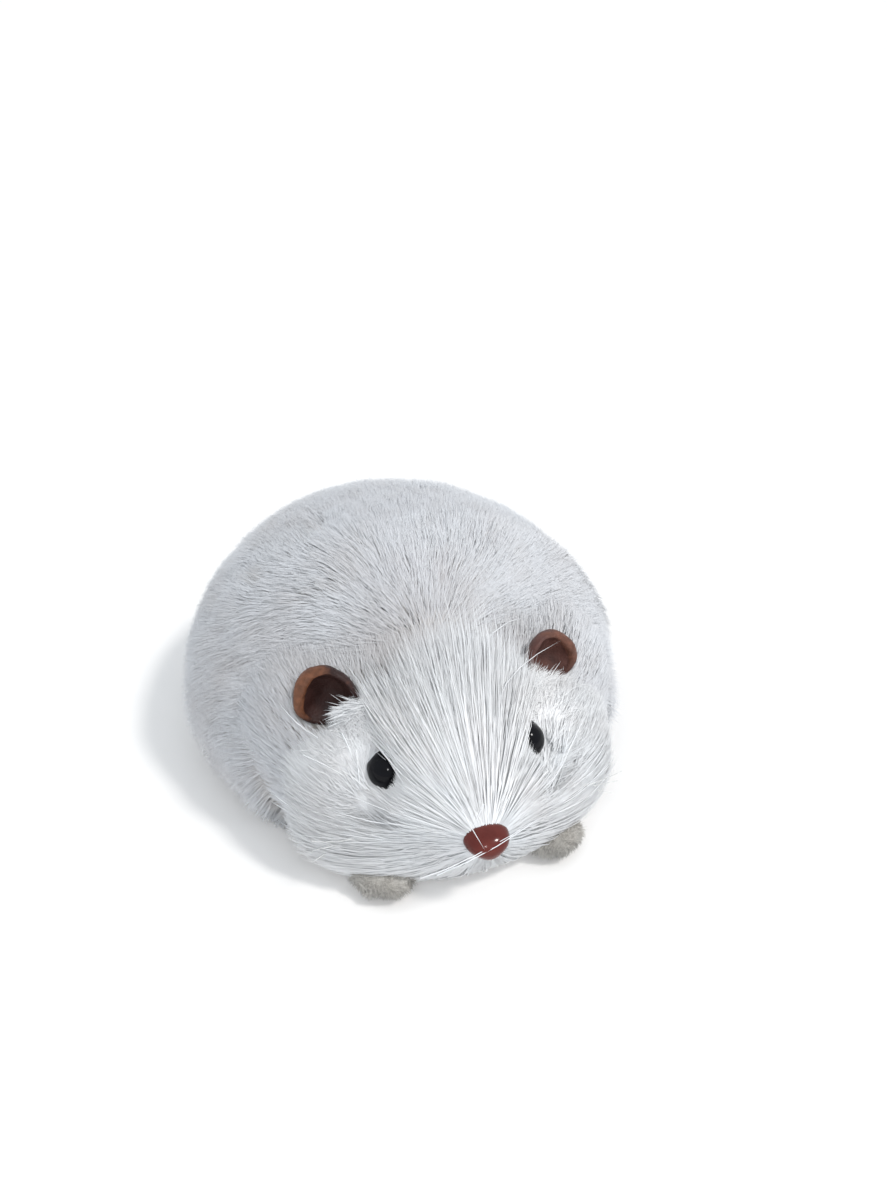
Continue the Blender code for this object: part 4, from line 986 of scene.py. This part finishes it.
def make_bristles(name, low_angle, high_angle, wanted, seed):
    rng = np.random.default_rng(seed)
    angle, y = scatter_face(wanted, low_angle, high_angle, ROOTS_Y, rng)
    room = y < face_end(angle) - 3.5
    angle, y = angle[room][:wanted], y[room][:wanted]
    count = len(angle)
    length = rng.uniform(13.0, 27.0, count)
    brow = over_brow(angle)
    ragged = rng.uniform(-1.6, 0.8, count) * (1.0 - brow) + rng.uniform(-8.0, -1.0, count) * brow
    y_tip = np.minimum(walk(angle, y, length), face_end(angle) + ragged)
    flare = CHEEK_FLARE * smooth_step(-np.sin(angle), -0.25, 0.5) * (1.0 - brow)
    flare *= smooth_step(y_tip, -72.0, -60.0)
    high = 0.2 + rng.uniform(0.0, 1.0, count) * (2.2 + 2.0 * brow) + flare * rng.uniform(0.4, 1.0, count)
    lines = taut_lines(angle, y, y_tip, rng.normal(0.0, 0.085, count), high)
    lay_bristles(name, lines, face_normal(angle, y), rng)


def make_crest():
    """Long fibres straight from the muzzle's bridge to an uneven crest that stands free over the nape."""
    rng = np.random.default_rng(25)
    off_middle = np.clip(rng.normal(0.0, CREST_SPREAD, CREST_BRISTLES), -CREST_HALF, CREST_HALF)
    angle = math.pi / 2 + off_middle
    y = rng.uniform(*CREST_Y, CREST_BRISTLES)
    spike = 3.0 * noise_at(np.stack([np.degrees(angle), 0.0 * y, 0.0 * y], axis=-1), 3.2)
    y_tip = crest_end(angle) + 0.7 * spike + rng.uniform(-9.0, 1.5, CREST_BRISTLES)
    middle = 1.0 - (off_middle / 0.62) ** 2
    high = 1.0 + middle * rng.uniform(0.0, 1.0, CREST_BRISTLES) ** 1.3 * CREST_HIGH
    longer = (rng.uniform(0.0, 1.0, CREST_BRISTLES) < 0.1) * rng.uniform(1.0, 6.0, CREST_BRISTLES) * middle
    y_tip = np.minimum(y_tip + longer, CREST_LAST_Y)
    high += 0.7 * longer
    lines = taut_lines(angle, y, y_tip, rng.normal(0.0, 0.07, CREST_BRISTLES), high)
    lines, _ = gather(lines, SPIKE_BRISTLES, rng, rng.uniform(0.0, 0.5, CREST_BRISTLES), 0.5)
    lay_bristles("forehead_crest", lines, face_normal(angle, y), rng)


def make_muzzle():
    """Short fibres close round the nose."""
    rng = np.random.default_rng(26)
    angle, y = scatter_face(MUZZLE_BRISTLES, *ALL_ROUND, MUZZLE_Y, rng)
    angle, y = angle[:MUZZLE_BRISTLES], y[:MUZZLE_BRISTLES]
    count = len(angle)
    y_tip = walk(angle, y, rng.uniform(4.0, 14.0, count))
    high = rng.uniform(0.4, 2.6, count)
    lines = taut_lines(angle, y, y_tip, rng.normal(0.0, 0.12, count), high)
    lay_bristles("muzzle", lines, face_normal(angle, y), rng)


def make_lids():
    """Short fibres in the lee of each eye, where those from the muzzle are cut short."""
    rng = np.random.default_rng(27)
    angle, y = scatter_face(LID_BRISTLES * 3, 0.0, math.pi, LIDS_Y, rng)
    surface = face_point(angle, y)
    near = np.zeros(len(angle), bool)
    for side in (1.0, -1.0):
        p = local(eye_frame(side), surface)
        away = np.hypot(p[:, 0], p[:, 1])
        near |= (away > EYE_R + 0.3) & (away < 10.0) & (p[:, 0] * side > -3.0)
    angle, y = angle[near][:LID_BRISTLES], y[near][:LID_BRISTLES]
    count = len(angle)
    y_tip = np.minimum(walk(angle, y, rng.uniform(5.0, 11.0, count)), face_end(angle) + 0.5)
    high = rng.uniform(0.3, 2.0, count)
    lines = taut_lines(angle, y, y_tip, rng.normal(0.0, 0.07, count), high)
    lay_bristles("lids", lines, face_normal(angle, y), rng, LID_RELIEF)


def lay_bristles(name, lines, normals, rng, relief=0.8):
    """Ends fibres at the eyes and ears, and makes them one piece."""
    forehead = "forehead" in name
    lines, kept = stopped(lines, eye_spaces(forehead) + ear_spaces(*BRISTLE_EAR_SPACE), 2.5)
    lift = rng.uniform(0.1, relief, (kept.sum(), 1))
    lines, normals = off_eyes(bedded(lines[kept], lift, forehead)), normals[kept]
    lines[:, :, 2] = np.maximum(lines[:, :, 2], LOWEST)
    radius = np.array(BRISTLE_RADII)[None] * rng.uniform(0.6, 1.15, (len(lines), 1))
    tint_and_shade = rng.uniform(0.0, 1.0, len(lines))
    strand_piece("bristles_" + name, lines, radius, normals, tint_and_shade, BRISTLE, "face_bristle", BRISTLE_SOFTNESS)


# The start, middle and end of each chosen loose fibre
STRAYS = (
    ((8.6, -60.0, 36.4), (13.7, -57.0, 40.6), (23.5, -55.0, 44.1)),
    ((-28.0, -56.0, 32.0), (-31.6, -52.0, 33.7), (-34.4, -48.0, 36.9)),
    ((6.5, -50.0, 37.1), (11.5, -47.0, 43.0), (21.3, -42.0, 42.0)),
    ((-23.4, -57.0, 32.9), (-22.6, -58.5, 30.5), (-21.9, -60.0, 27.5)),
    ((-31.6, -58.0, 30.2), (-27.5, -59.5, 27.6), (-23.3, -61.0, 24.2)),
    ((-5.3, -79.0, 27.2), (-4.6, -81.5, 25.6), (-2.1, -83.2, 19.8)),
    ((-0.8, -78.0, 26.9), (-2.6, -79.6, 25.4), (-4.6, -81.0, 23.4)),
    ((-14.1, -80.0, 12.9), (-3.5, -81.5, 17.4), (12.6, -78.0, 20.7)),
    ((-10.8, -80.0, 12.6), (0.8, -81.5, 18.5), (14.4, -76.0, 19.3)),
    ((15.8, -70.0, 11.0), (18.8, -71.5, 6.0), (20.9, -71.5, 0.9)),
    ((2.0, -60.0, 32.0), (4.0, -55.0, 41.0), (5.2, -50.0, 51.0)),
    ((-1.0, -60.0, 32.0), (-1.0, -55.0, 40.5), (-0.9, -50.0, 48.6)),
    ((5.0, -60.0, 32.0), (7.6, -55.0, 41.0), (9.9, -50.0, 48.8)),
    ((-4.6, -60.0, 32.0), (-6.0, -55.0, 40.0), (-7.0, -50.0, 47.4)),
)
LOOSE_BRISTLES = 60


def make_strays():
    """Single fibres that have come loose: chosen ones across an edge or the nose, the rest all over."""
    rng = np.random.default_rng(35)
    bends = np.array(STRAYS)
    share = np.linspace(0.0, 1.0, 5)[None, :, None]
    first, middle, last = bends[:, None, 0], bends[:, None, 1], bends[:, None, 2]
    ends = first * (1 - share) * (1 - 2 * share) + last * share * (2 * share - 1)
    chosen = ends + middle * 4 * share * (1 - share)
    angle = rng.uniform(-0.5, math.pi + 0.5, LOOSE_BRISTLES)
    y = rng.uniform(-77.0, -60.0, LOOSE_BRISTLES)
    y_tip = np.minimum(walk(angle, y, rng.uniform(12.0, 28.0, LOOSE_BRISTLES)), face_end(angle) + 3.0)
    sway = rng.normal(0.0, 0.12, LOOSE_BRISTLES)
    loose = taut_lines(angle, y, y_tip, sway, rng.uniform(2.0, 4.5, LOOSE_BRISTLES))
    loose, kept = stopped(loose, eye_spaces(False) + ear_spaces(*BRISTLE_EAR_SPACE), 3.0)
    lines = np.concatenate([chosen, loose[kept]])
    normals = unit(lines[:, -1] - np.array([0.0, -60.0, 10.0]))
    radius = np.tile(np.array(BRISTLE_RADII) * 1.05, (len(lines), 1))
    tint_and_shade = np.ones(len(lines))
    strand_piece("bristles_stray", lines, radius, normals, tint_and_shade, BRISTLE, "face_bristle", 0.3)


def make_collar():
    """Body fur between the bristles' edge and the neck, round the ears and behind the cheeks."""
    rng = np.random.default_rng(31)
    y_range = (CHEEK_EDGE_Y[0] - 3.0, NECK_HIGH[0] + 2.0)
    angle, y = scatter_face(COLLAR_STRANDS, *ALL_ROUND, y_range, rng)
    surface = face_point(angle, y)
    room = (y > face_end(angle) - 3.0) & (behind_neck(surface) < 2.0)
    angle, y = angle[room][:COLLAR_STRANDS], y[room][:COLLAR_STRANDS]
    normals = face_normal(angle, y)
    inset = COLLAR_INSET + 2.0 * over_brow(angle) - 1.6 * smooth_step(face_end(angle) + 2.0 - y, 0.0, 4.0)
    roots = face_point(angle, y) - normals * inset[:, None]
    back = unit(face_point(angle, y + 1.0) - face_point(angle, y - 1.0))
    low = smooth_step(-np.sin(angle), -0.1, 0.5)
    back = unit(back + np.array([0.0, -0.3, -1.4]) * low[:, None])
    count = len(roots)
    near_edge = smooth_step(face_end(angle) + 4.0 - y, 0.0, 5.0)
    upright = np.radians(38.0 - 34.0 * near_edge + rng.normal(0.0, 6.0, count))
    length = FUR_LENGTH * rng.uniform(0.75, 1.0, count) * (1.0 - 0.45 * near_edge)
    lines, radius, tint_and_shade = coat(roots, normals, back, length, upright, rng)
    lines, kept = stopped(lines, ear_spaces(*FUR_EAR_SPACE), 2.0)
    for name, side in (("left", lines[:, 0, 0] > 0.0), ("right", lines[:, 0, 0] <= 0.0)):
        own = kept & side
        lay_fur("collar_" + name, lines[own], radius[own], normals[own], tint_and_shade[own])


def cut_ear_rooms(piece):
    """Cuts away what would stand in an ear's cup."""
    for side in (1.0, -1.0):
        room = [(-EAR_DEPTH - EAR_T - 0.6, EAR_R - 0.5), (15.0, EAR_R + 1.0)]
        cut(piece, grid_mesh("ear_room", rings_round(ear_frame(side), room)))


def behind_ears(points, depth):
    """Moves points that lie in an ear's cup back to behind it."""
    for side in (1.0, -1.0):
        place = ear_frame(side)
        p = local(place, points)
        back = -EAR_DEPTH - EAR_T - depth
        inside = (np.hypot(p[..., 0], p[..., 1]) < EAR_R + 0.3) & (p[..., 2] > back) & (p[..., 2] < 4.0)
        p[..., 2] = np.where(inside, back, p[..., 2])
        points = placed(place, p)
    return points


def make_swatch_backing(name, low_angle, high_angle):
    """The backing under a swatch: a closed skin sunk below the fibres, with a bed for each eye and ear."""
    angles = np.linspace(low_angle + SEAM_GAP, high_angle - SEAM_GAP, 110)
    rings = []
    for share in np.linspace(0.0, 1.0, 70):
        y = FACE_FRONT + (face_end(angles) - 1.0 - FACE_FRONT) * share
        surface, normal = face_point(angles, y), face_normal(angles, y)
        inset = BASE_INSET + BASE_EDGE * smooth_step(share, 0.8, 1.0) + 0.3 * noise_at(surface, 3.0)
        outer = behind_ears(bedded(surface - normal * inset[:, None], -1.0), 0.5)
        under = surface - normal * (inset + BASE_THICKNESS)[:, None]
        inner = behind_ears(bedded(under, -1.0 - BASE_THICKNESS), 2.0)
        rings.append(np.concatenate([outer, inner[::-1]]))
    finished(grid_mesh("backing_" + name, rings), BRISTLE_DOWN, "face_bristle", "face_fur_" + name)


def make_collar_backing():
    """The skin under the collar, from under the bristles back to the neck."""
    angles = np.linspace(0.0, TAU, 144, endpoint=False)
    places = np.linspace(CHEEK_EDGE_Y[0] - 2.0, NECK_HIGH[0] - 1.0, 24)
    rings = []
    for inset, along in ((COLLAR_SKIN[0], places), (COLLAR_SKIN[1], places[::-1])):
        for y in along:
            middle = face_point(angles, np.full(144, y)) - face_normal(angles, np.full(144, y)) * inset
            rings.append(middle + noise_at(middle, 3.0)[:, None] * 0.2)
    rings.append(rings[0])
    skin = grid_mesh("collar_backing", rings, caps=False)
    cut(skin, block("behind_neck", (-FAR, 1.0, -FAR), (FAR, FAR, FAR), neck_place()))
    cut(skin, block("below_floor", (-FAR, -FAR, -FAR), (FAR, FAR, 0.3)))
    cut_ear_rooms(skin)
    finished(skin, DOWN, "fur")


# Eyes, ears, nose, whiskers, paws and tail


def make_eyes():
    """Glossy domes: a short shank, a flat back with a rounded rim, then a quarter circle to the pole."""
    profile = [(-7.6, 0.7), (-7.4, 0.8), (-3.05, 0.8), (-3.0, 1.0)]
    profile += [(-3.0, EYE_R - 0.3), (-2.9, EYE_R - 0.08), (-2.7, EYE_R)]
    for step in range(24):
        rise = math.radians(90.0 * step / 24)
        profile.append((EYE_R * math.sin(rise), EYE_R * math.cos(rise)))
    profile.append((EYE_R, 0.02))
    for side, name in ((1.0, "eye_left"), (-1.0, "eye_right")):
        eye = grid_mesh(name + "_dome", rings_round(eye_frame(side), profile))
        finished(eye, EYE_BLACK, "eye_black", name)


EAR_WALL = (1.0, 1.5)
EAR_THICKEST = (0.6, 0.8)
EAR_TALL = {1.0: 0.90, -1.0: 1.0}
EAR_DROP = {1.0: 1.0, -1.0: 0.2}


def ear_profile():
    """(height, share of opening, share of wall, edge), from inside the cup over its rim to its back."""
    profile = []
    for step in range(13):
        share = step / 12
        worn = max(0.0, share * 6.0 - 5.4)
        profile.append((-EAR_DEPTH * (1.0 - share**2.4), max(0.01, share), 0.0, worn))
    for step in range(1, 8):
        turn = math.pi * step / 8
        profile.append((0.55 * math.sin(turn), 1.0, (1.0 - math.cos(turn)) / 2, 1.0))
    for step in range(14):
        share = step / 13
        height = -0.2 - (EAR_DEPTH + EAR_T - 0.2) * share**1.3
        size = max(0.01, math.sqrt(1.0 - share**2.6))
        profile.append((height, size, size, 0.9 - 0.6 * share))
    return profile


def make_ears():
    """Leather cups, creased, and thickest and worn at the top, on flat stems that go into the head."""
    sides = 96
    angles = np.linspace(0.0, TAU, sides, endpoint=False)
    spin = np.stack([np.cos(angles), np.sin(angles), np.zeros(sides)], axis=-1)
    # Each ear takes its copy of the leather: the lit copy on the mouse's left, the shaded copy on its right,
    # as painted light and shade.
    for side, name, leather in ((1.0, "ear_left", LIT_EAR_LEATHER), (-1.0, "ear_right", SHADED_EAR_LEATHER)):
        place = ear_frame(side)
        top = np.maximum(0.0, spin[:, 0] * side * EAR_THICKEST[0] + spin[:, 1] * EAR_THICKEST[1])
        uneven = 1.0 + 0.06 * noise_at(spin * 4.0, 3.0, side * 5.0)
        uneven -= 0.05 * np.maximum(0.0, -spin[:, 1]) ** 2
        wall = EAR_WALL[0] + EAR_WALL[1] * top**2 + 0.25 * noise_at(spin * 4.0, 1.6, side * 3.0)
        rings, edges = [], []
        for height, opening, outside, edge in ear_profile():
            radius = ((EAR_R - wall) * opening + wall * outside) * uneven
            flat = spin * radius[:, None]
            rolled = np.where(height > 0.0, height * wall, height)
            flat[:, 2] = rolled - 0.022 * flat[:, 1] ** 2 + 0.016 * flat[:, 0] ** 2
            crease = noise_at(flat * np.array([1.0, 0.45, 1.0]), 1.7, side * 9.0)
            flat[:, 2] += 0.3 * crease * np.minimum(1.0, radius / 2.0)
            flat[:, 1] = flat[:, 1] * EAR_TALL[side] - EAR_DROP[side]
            rings.append(placed(place, flat))
            edges.append(edge * (0.25 + 0.75 * top))
        cup = grid_mesh(name + "_cup", rings)
        store(cup.data, "edge", np.concatenate(edges))
        finished(cup, leather, "leather", name)
        middles = [(0.0, -y, -EAR_T - 1.35) for y in (5.5, 9.0, 13.0, EAR_STEM)]
        finished(rounded_strip(name + "_stem", middles, place), STRAP_LEATHER, "leather")


# Short fibres over each ear's lower edge, in its own frame as (outward, up, forward)
TUFTS = {
    "left": (1.0, (0.3, -8.6, 0.4), (6.5, 2.0, 1.2), (0.30, 0.85, 0.40)),
    "right": (-1.0, (-5.4, -6.4, 0.8), (3.0, 2.6, 1.2), (0.80, 0.35, 0.35)),
}
TUFT_BRISTLES = 900


def make_ear_tufts():
    for seed, (name, (side, centre, spread, flow)) in enumerate(TUFTS.items()):
        rng = np.random.default_rng(51 + seed)
        turn = np.array([side, 1.0, 1.0])
        roots = (np.array(centre) + np.array(spread) * rng.uniform(-1.0, 1.0, (TUFT_BRISTLES, 3))) * turn
        ahead = unit(np.array(flow) * turn + rng.normal(0.0, 0.22, roots.shape))
        length = rng.uniform(2.5, 6.0, TUFT_BRISTLES)
        steps = [roots + ahead * (length * share)[:, None] for share in np.linspace(0.0, 1.0, 5)]
        lines = placed(ear_frame(side), np.stack(steps, axis=1))
        normals = np.tile(unit(np.array(mirrored(EAR_FACING, side))), (TUFT_BRISTLES, 1))
        radius = np.array(BRISTLE_RADII)[None] * rng.uniform(0.6, 1.0, (TUFT_BRISTLES, 1))
        tint_and_shade = rng.uniform(0.0, 1.0, TUFT_BRISTLES)
        strand_piece(f"ear_tuft_{name}", lines, radius, normals, tint_and_shade, BRISTLE, "face_bristle", 0.5)


def rounded_strip(name, middles, place, half_width=1.9, half_thickness=0.6):
    """A flat strip with rounded edges along local points that run in Y."""
    angles = np.linspace(0.0, TAU, 24, endpoint=False)
    rings = []
    for middle in middles:
        across = half_width * np.copysign(np.abs(np.cos(angles)) ** 0.4, np.cos(angles))
        through = half_thickness * np.copysign(np.abs(np.sin(angles)) ** 0.7, np.sin(angles))
        ring = np.stack([across, np.zeros(24), through], axis=-1) + np.array(middle)
        rings.append(placed(place, ring))
    return grid_mesh(name, rings)


NOSE_Y = (-82.0, -74.9)
NOSE_Z = 16.7
NOSE_HALF = (4.6, 3.2)


def make_nose():
    """A moulded nose: a rounded triangle that points down, waisted behind, with a low crown in front."""
    angles = np.linspace(0.0, TAU, 72, endpoint=False)
    corners = 1.0 + 0.06 * np.cos(3.0 * (angles + math.pi / 2))
    taper = 1.0 - 0.12 * np.maximum(0.0, -np.sin(angles)) ** 1.5
    rings = []
    for share in np.linspace(0.0, 1.0, 40):
        waist = 0.60 + 0.40 * min(1.0, share / 0.34) ** 0.6
        crown = math.sqrt(max(0.0, 1.0 - max(0.0, (share - 0.30) / 0.70) ** 2.3))
        size = max(0.01, waist * crown)
        y = NOSE_Y[1] + (NOSE_Y[0] - NOSE_Y[1]) * share
        x = NOSE_HALF[0] * size * corners * taper * np.cos(angles)
        z = NOSE_Z + NOSE_HALF[1] * size * corners * np.sin(angles) / 0.96
        rings.append(np.stack([x, np.full(72, y), z], axis=-1))
    nose = grid_mesh("nose_button", rings)
    finished(nose, NOSE_BROWN, "nose_brown", "nose")


# Each whisker's y, z and how far its ends rise
WHISKERS = {"upper": (-68.2, 15.0, 3.5), "middle": (-66.6, 12.6, 1.5), "lower": (-65.0, 10.2, -1.2)}
WHISKER_STRAIGHT = 26.0
WHISKER_REACH = 7.0
WHISKER_FORWARD = 1.5


def tube(name, points, radii, sides=10):
    """A round strand along points, with one radius for each."""
    points = np.array(points)
    along = unit(np.gradient(points, axis=0))
    side = unit(np.cross(along, np.array([0.03, 0.05, 1.0])))
    lift = np.cross(side, along)
    rings = []
    for point, radius, a, b in zip(points, radii, side, lift):
        turns = [TAU * i / sides for i in range(sides)]
        rings.append([point + radius * (a * math.cos(t) + b * math.sin(t)) for t in turns])
    return grid_mesh(name, rings)


def make_whiskers():
    """Nylon strands straight through the muzzle, which sweep forward outside it and taper to a point."""
    for name, (y, z, lift) in WHISKERS.items():
        points = []
        for x in np.linspace(-1.0, 1.0, 81) * (WHISKER_STRAIGHT + WHISKER_REACH):
            bend = (max(0.0, abs(x) - WHISKER_STRAIGHT) / WHISKER_REACH) ** 1.6
            points.append((x, y - WHISKER_FORWARD * bend, z + lift * bend))
        radii = [0.17 - 0.12 * (abs(p[0]) / (WHISKER_STRAIGHT + WHISKER_REACH)) ** 2 for p in points]
        whisker = tube(f"whisker_{name}_strand", points, radii)
        finished(whisker, NYLON, "nylon", "whisker_" + name)


PAW_LOW, PAW_HIGH = box_mm("front_paw_left")
PAW_AT = (PAW_HIGH + PAW_LOW) / 2
PAW_HALF = (PAW_HIGH - PAW_LOW) / 2
TOE_WAVE = 2.4
PILE_STRANDS = 5500
PILE_LENGTH = 1.3
PILE_RADII = (0.07, 0.065, 0.05)


def paw_point(turn, rise, side):
    """Points of a plush paw: a low lobe, flat below, with shallow grooves between its toes in front."""
    ahead = np.maximum(0.0, -np.sin(turn))
    toes = 1.0 + 0.07 * ahead**2 * np.abs(np.cos(TOE_WAVE * (turn + math.pi / 2))) - 0.04 * ahead**2
    shrink = np.cos(rise) ** 0.8 * toes
    x = side * PAW_AT[0] + (PAW_HALF[0] - 0.5) * shrink * np.cos(turn)
    y = PAW_AT[1] + (PAW_HALF[1] - 0.5) * shrink * np.sin(turn)
    z = PAW_AT[2] + (PAW_HALF[2] - 0.4) * np.sin(rise)
    return np.stack([x, y, z + 0.0 * x], axis=-1)


def make_paws():
    for side, name in ((1.0, "front_paw_left"), (-1.0, "front_paw_right")):
        rng = np.random.default_rng(41 if side > 0 else 42)
        turns = np.linspace(0.0, TAU, 72, endpoint=False)
        rises = np.radians(np.linspace(-88.0, 88.0, 36))
        rings = []
        for rise in rises:
            ring = paw_point(turns, np.full(72, rise), side)
            outward = unit(ring - np.array(mirrored(PAW_AT, side)))
            rings.append(ring + outward * noise_at(ring, 2.5)[:, None] * 0.35)
        lobe = grid_mesh(name + "_lobe", rings)
        finished(lobe, PLUSH_BACKING, "plush", name)
        turn = rng.uniform(0.0, TAU, PILE_STRANDS)
        rise = np.arcsin(rng.uniform(-0.98, 0.98, PILE_STRANDS))
        roots = paw_point(turn, rise, side)
        around = paw_point(turn + 0.02, rise, side) - paw_point(turn - 0.02, rise, side)
        upward = paw_point(turn, rise + 0.02, side) - paw_point(turn, rise - 0.02, side)
        normals = unit(np.cross(around, upward))
        swirl = [noise_at(roots, 3.0, offset) for offset in (1.0, 2.0, 3.0)]
        flow = unit(np.stack([swirl[0], swirl[1] - 0.5, swirl[2]], axis=-1))
        flow = unit(flow + rng.normal(0.0, 0.4, flow.shape))
        length = PILE_LENGTH * rng.uniform(0.7, 1.3, PILE_STRANDS)
        lines = nap_lines(roots - normals * 0.2, normals, flow, length, np.full(PILE_STRANDS, 0.5))
        lines[:, :, 2] = np.maximum(lines[:, :, 2], LOWEST)
        radius = np.array(PILE_RADII)[None] * rng.uniform(0.8, 1.2, (PILE_STRANDS, 1))
        tint_and_shade = rng.uniform(0.0, 1.0, PILE_STRANDS)
        strand_piece(name + "_pile", lines, radius, normals, tint_and_shade, PILE, "plush")


# Stations of the tail, as (y, z, half width, half thickness)
TAIL = (
    (40.6, 12.0, 3.0, 0.8),
    (40.5, 7.5, 3.0, 0.8),
    (42.0, 3.8, 3.0, 0.9),
    (46.0, 2.0, 2.9, 0.9),
    (54.0, 1.8, 2.5, 0.9),
    (64.0, 1.7, 2.0, 0.9),
    (74.0, 1.6, 1.4, 0.8),
    (82.0, 1.5, 0.7, 0.6),
)
TAIL_SWEEP = 5.0
TAIL_FREE_Y = 47.6
TAIL_HOLE_Z = 9.6
TAIL_HOLE_Y = (30.0, 50.0)
TAIL_HOLE_R = 1.1


def make_tail():
    """A tapered leather strip: upright behind the rump, then lying back, with its edges skived round."""
    stations = np.arange(len(TAIL), dtype=float)
    fine = np.linspace(0.0, len(TAIL) - 1.0, 90)
    y, z, half_width, half_thickness = [smooth_interp(fine, stations, c) for c in np.array(TAIL).T]
    free = np.maximum(0.0, (y - TAIL_FREE_Y) / (TAIL[-1][0] - TAIL_FREE_Y))
    x = TAIL_SWEEP * np.sin(math.pi * free) * free
    along = unit(np.gradient(np.stack([y, z], axis=-1), axis=0))
    angles = np.linspace(0.0, TAU, 32, endpoint=False)
    rings, edges = [], []
    for i in range(len(fine)):
        wide = half_width[i] * np.copysign(np.abs(np.cos(angles)) ** 0.55, np.cos(angles))
        thick = half_thickness[i] * np.copysign(np.abs(np.sin(angles)) ** 0.75, np.sin(angles))
        ring = np.stack([x[i] + wide, y[i] - along[i, 1] * thick, z[i] + along[i, 0] * thick], axis=-1)
        rings.append(ring + noise_at(ring, 1.6)[:, None] * np.array([0.05, 0.05, 0.04]))
        edges.append(smooth_step(np.abs(np.cos(angles)), 0.75, 1.0))
    tail = grid_mesh("tail_strip", rings)
    store(tail.data, "edge", np.concatenate(edges))
    through = towards((0.0, TAIL_HOLE_Y[0], TAIL_HOLE_Z), (0.0, 1.0, 0.0), (0.0, 0.0, 1.0))
    ends = [(0.0, TAIL_HOLE_R), (TAIL_HOLE_Y[1] - TAIL_HOLE_Y[0], TAIL_HOLE_R)]
    cut(tail, grid_mesh("tail_hole", rings_round(through, ends, 32)))
    tail.data.shade_smooth()
    finished(tail, STRAP_LEATHER, "leather", "tail")


# Floor, light and camera

FLOOR_HALF = 8000.0


def make_floor():
    material, shader = principled("floor", (0.95, 0.93, 0.91), 0.9)
    nodes = Nodes(material, shader)
    nodes.roughness(nodes.spread(nodes.noise(40.0), 0.85, 0.95))
    edges = [[(-FLOOR_HALF, y, 0.0), (FLOOR_HALF, y, 0.0)] for y in (-FLOOR_HALF, FLOOR_HALF)]
    floor = grid_mesh("floor", edges, closed=False, caps=False)
    floor.data.materials.append(material)


def sun_light(name, direction, angle, strength, colour=(1.0, 1.0, 1.0)):
    light = bpy.data.lights.new(name, "SUN")
    light.angle = math.radians(angle)
    light.energy = strength
    light.color = colour
    piece = bpy.data.objects.new(name, light)
    bpy.context.scene.collection.objects.link(piece)
    piece.rotation_euler = Vector(direction).to_track_quat("-Z", "Y").to_euler()


def area_light(name, at, towards_point, size, power):
    light = bpy.data.lights.new(name, "AREA")
    light.shape = "DISK"
    light.size = size * MM
    light.energy = power
    piece = bpy.data.objects.new(name, light)
    bpy.context.scene.collection.objects.link(piece)
    piece.location = Vector(at) * MM
    piece.rotation_euler = (Vector(towards_point) - Vector(at)).to_track_quat("-Z", "Y").to_euler()


def make_studio():
    world = bpy.data.worlds.new("studio")
    bpy.context.scene.world = world
    world.use_nodes = True
    world.node_tree.nodes["Background"].inputs["Color"].default_value = (0.89, 0.945, 1.0, 1.0)
    world.node_tree.nodes["Background"].inputs["Strength"].default_value = 0.84
    sun_light("key_light", (-0.46, 0.32, -0.83), 9.0, 1.25, (1.0, 0.985, 0.97))
    area_light("window_light", (-50.0, -450.0, 380.0), (0.0, -60.0, 20.0), 55.0, 0.5)
    settings = bpy.context.scene.view_settings
    settings.view_transform = "Standard"
    settings.look = "None"


LENS = 30.456853
CAMERA_AT = (-48.51, -205.92, 165.18)
CAMERA_DOWN = 33.38
CAMERA_TURN = -17.22


def make_camera():
    camera = bpy.data.cameras.new("camera")
    camera.lens = LENS
    camera.clip_start = 0.01
    piece = bpy.data.objects.new("camera", camera)
    bpy.context.scene.collection.objects.link(piece)
    piece.location = Vector(CAMERA_AT) * MM
    piece.rotation_euler = Euler((math.radians(90.0 - CAMERA_DOWN), 0.0, math.radians(CAMERA_TURN)))
    bpy.context.scene.camera = piece


make_camera()
make_studio()
make_floor()
dress_frame()
make_body_fur()
make_fur_backing()
make_collar()
for seed, (name, (low, high, count)) in enumerate(SWATCHES.items()):
    make_bristles(name, low, high, count, 20 + seed)
make_crest()
make_muzzle()
make_lids()
make_strays()
make_swatch_backing("forehead", SEAM, math.pi - SEAM)
make_swatch_backing("cheek_left", ALL_ROUND[0], SEAM)
make_swatch_backing("cheek_right", math.pi - SEAM, ALL_ROUND[1])
make_collar_backing()
make_eyes()
make_ears()
make_ear_tufts()
make_nose()
make_whiskers()
make_paws()
make_tail()
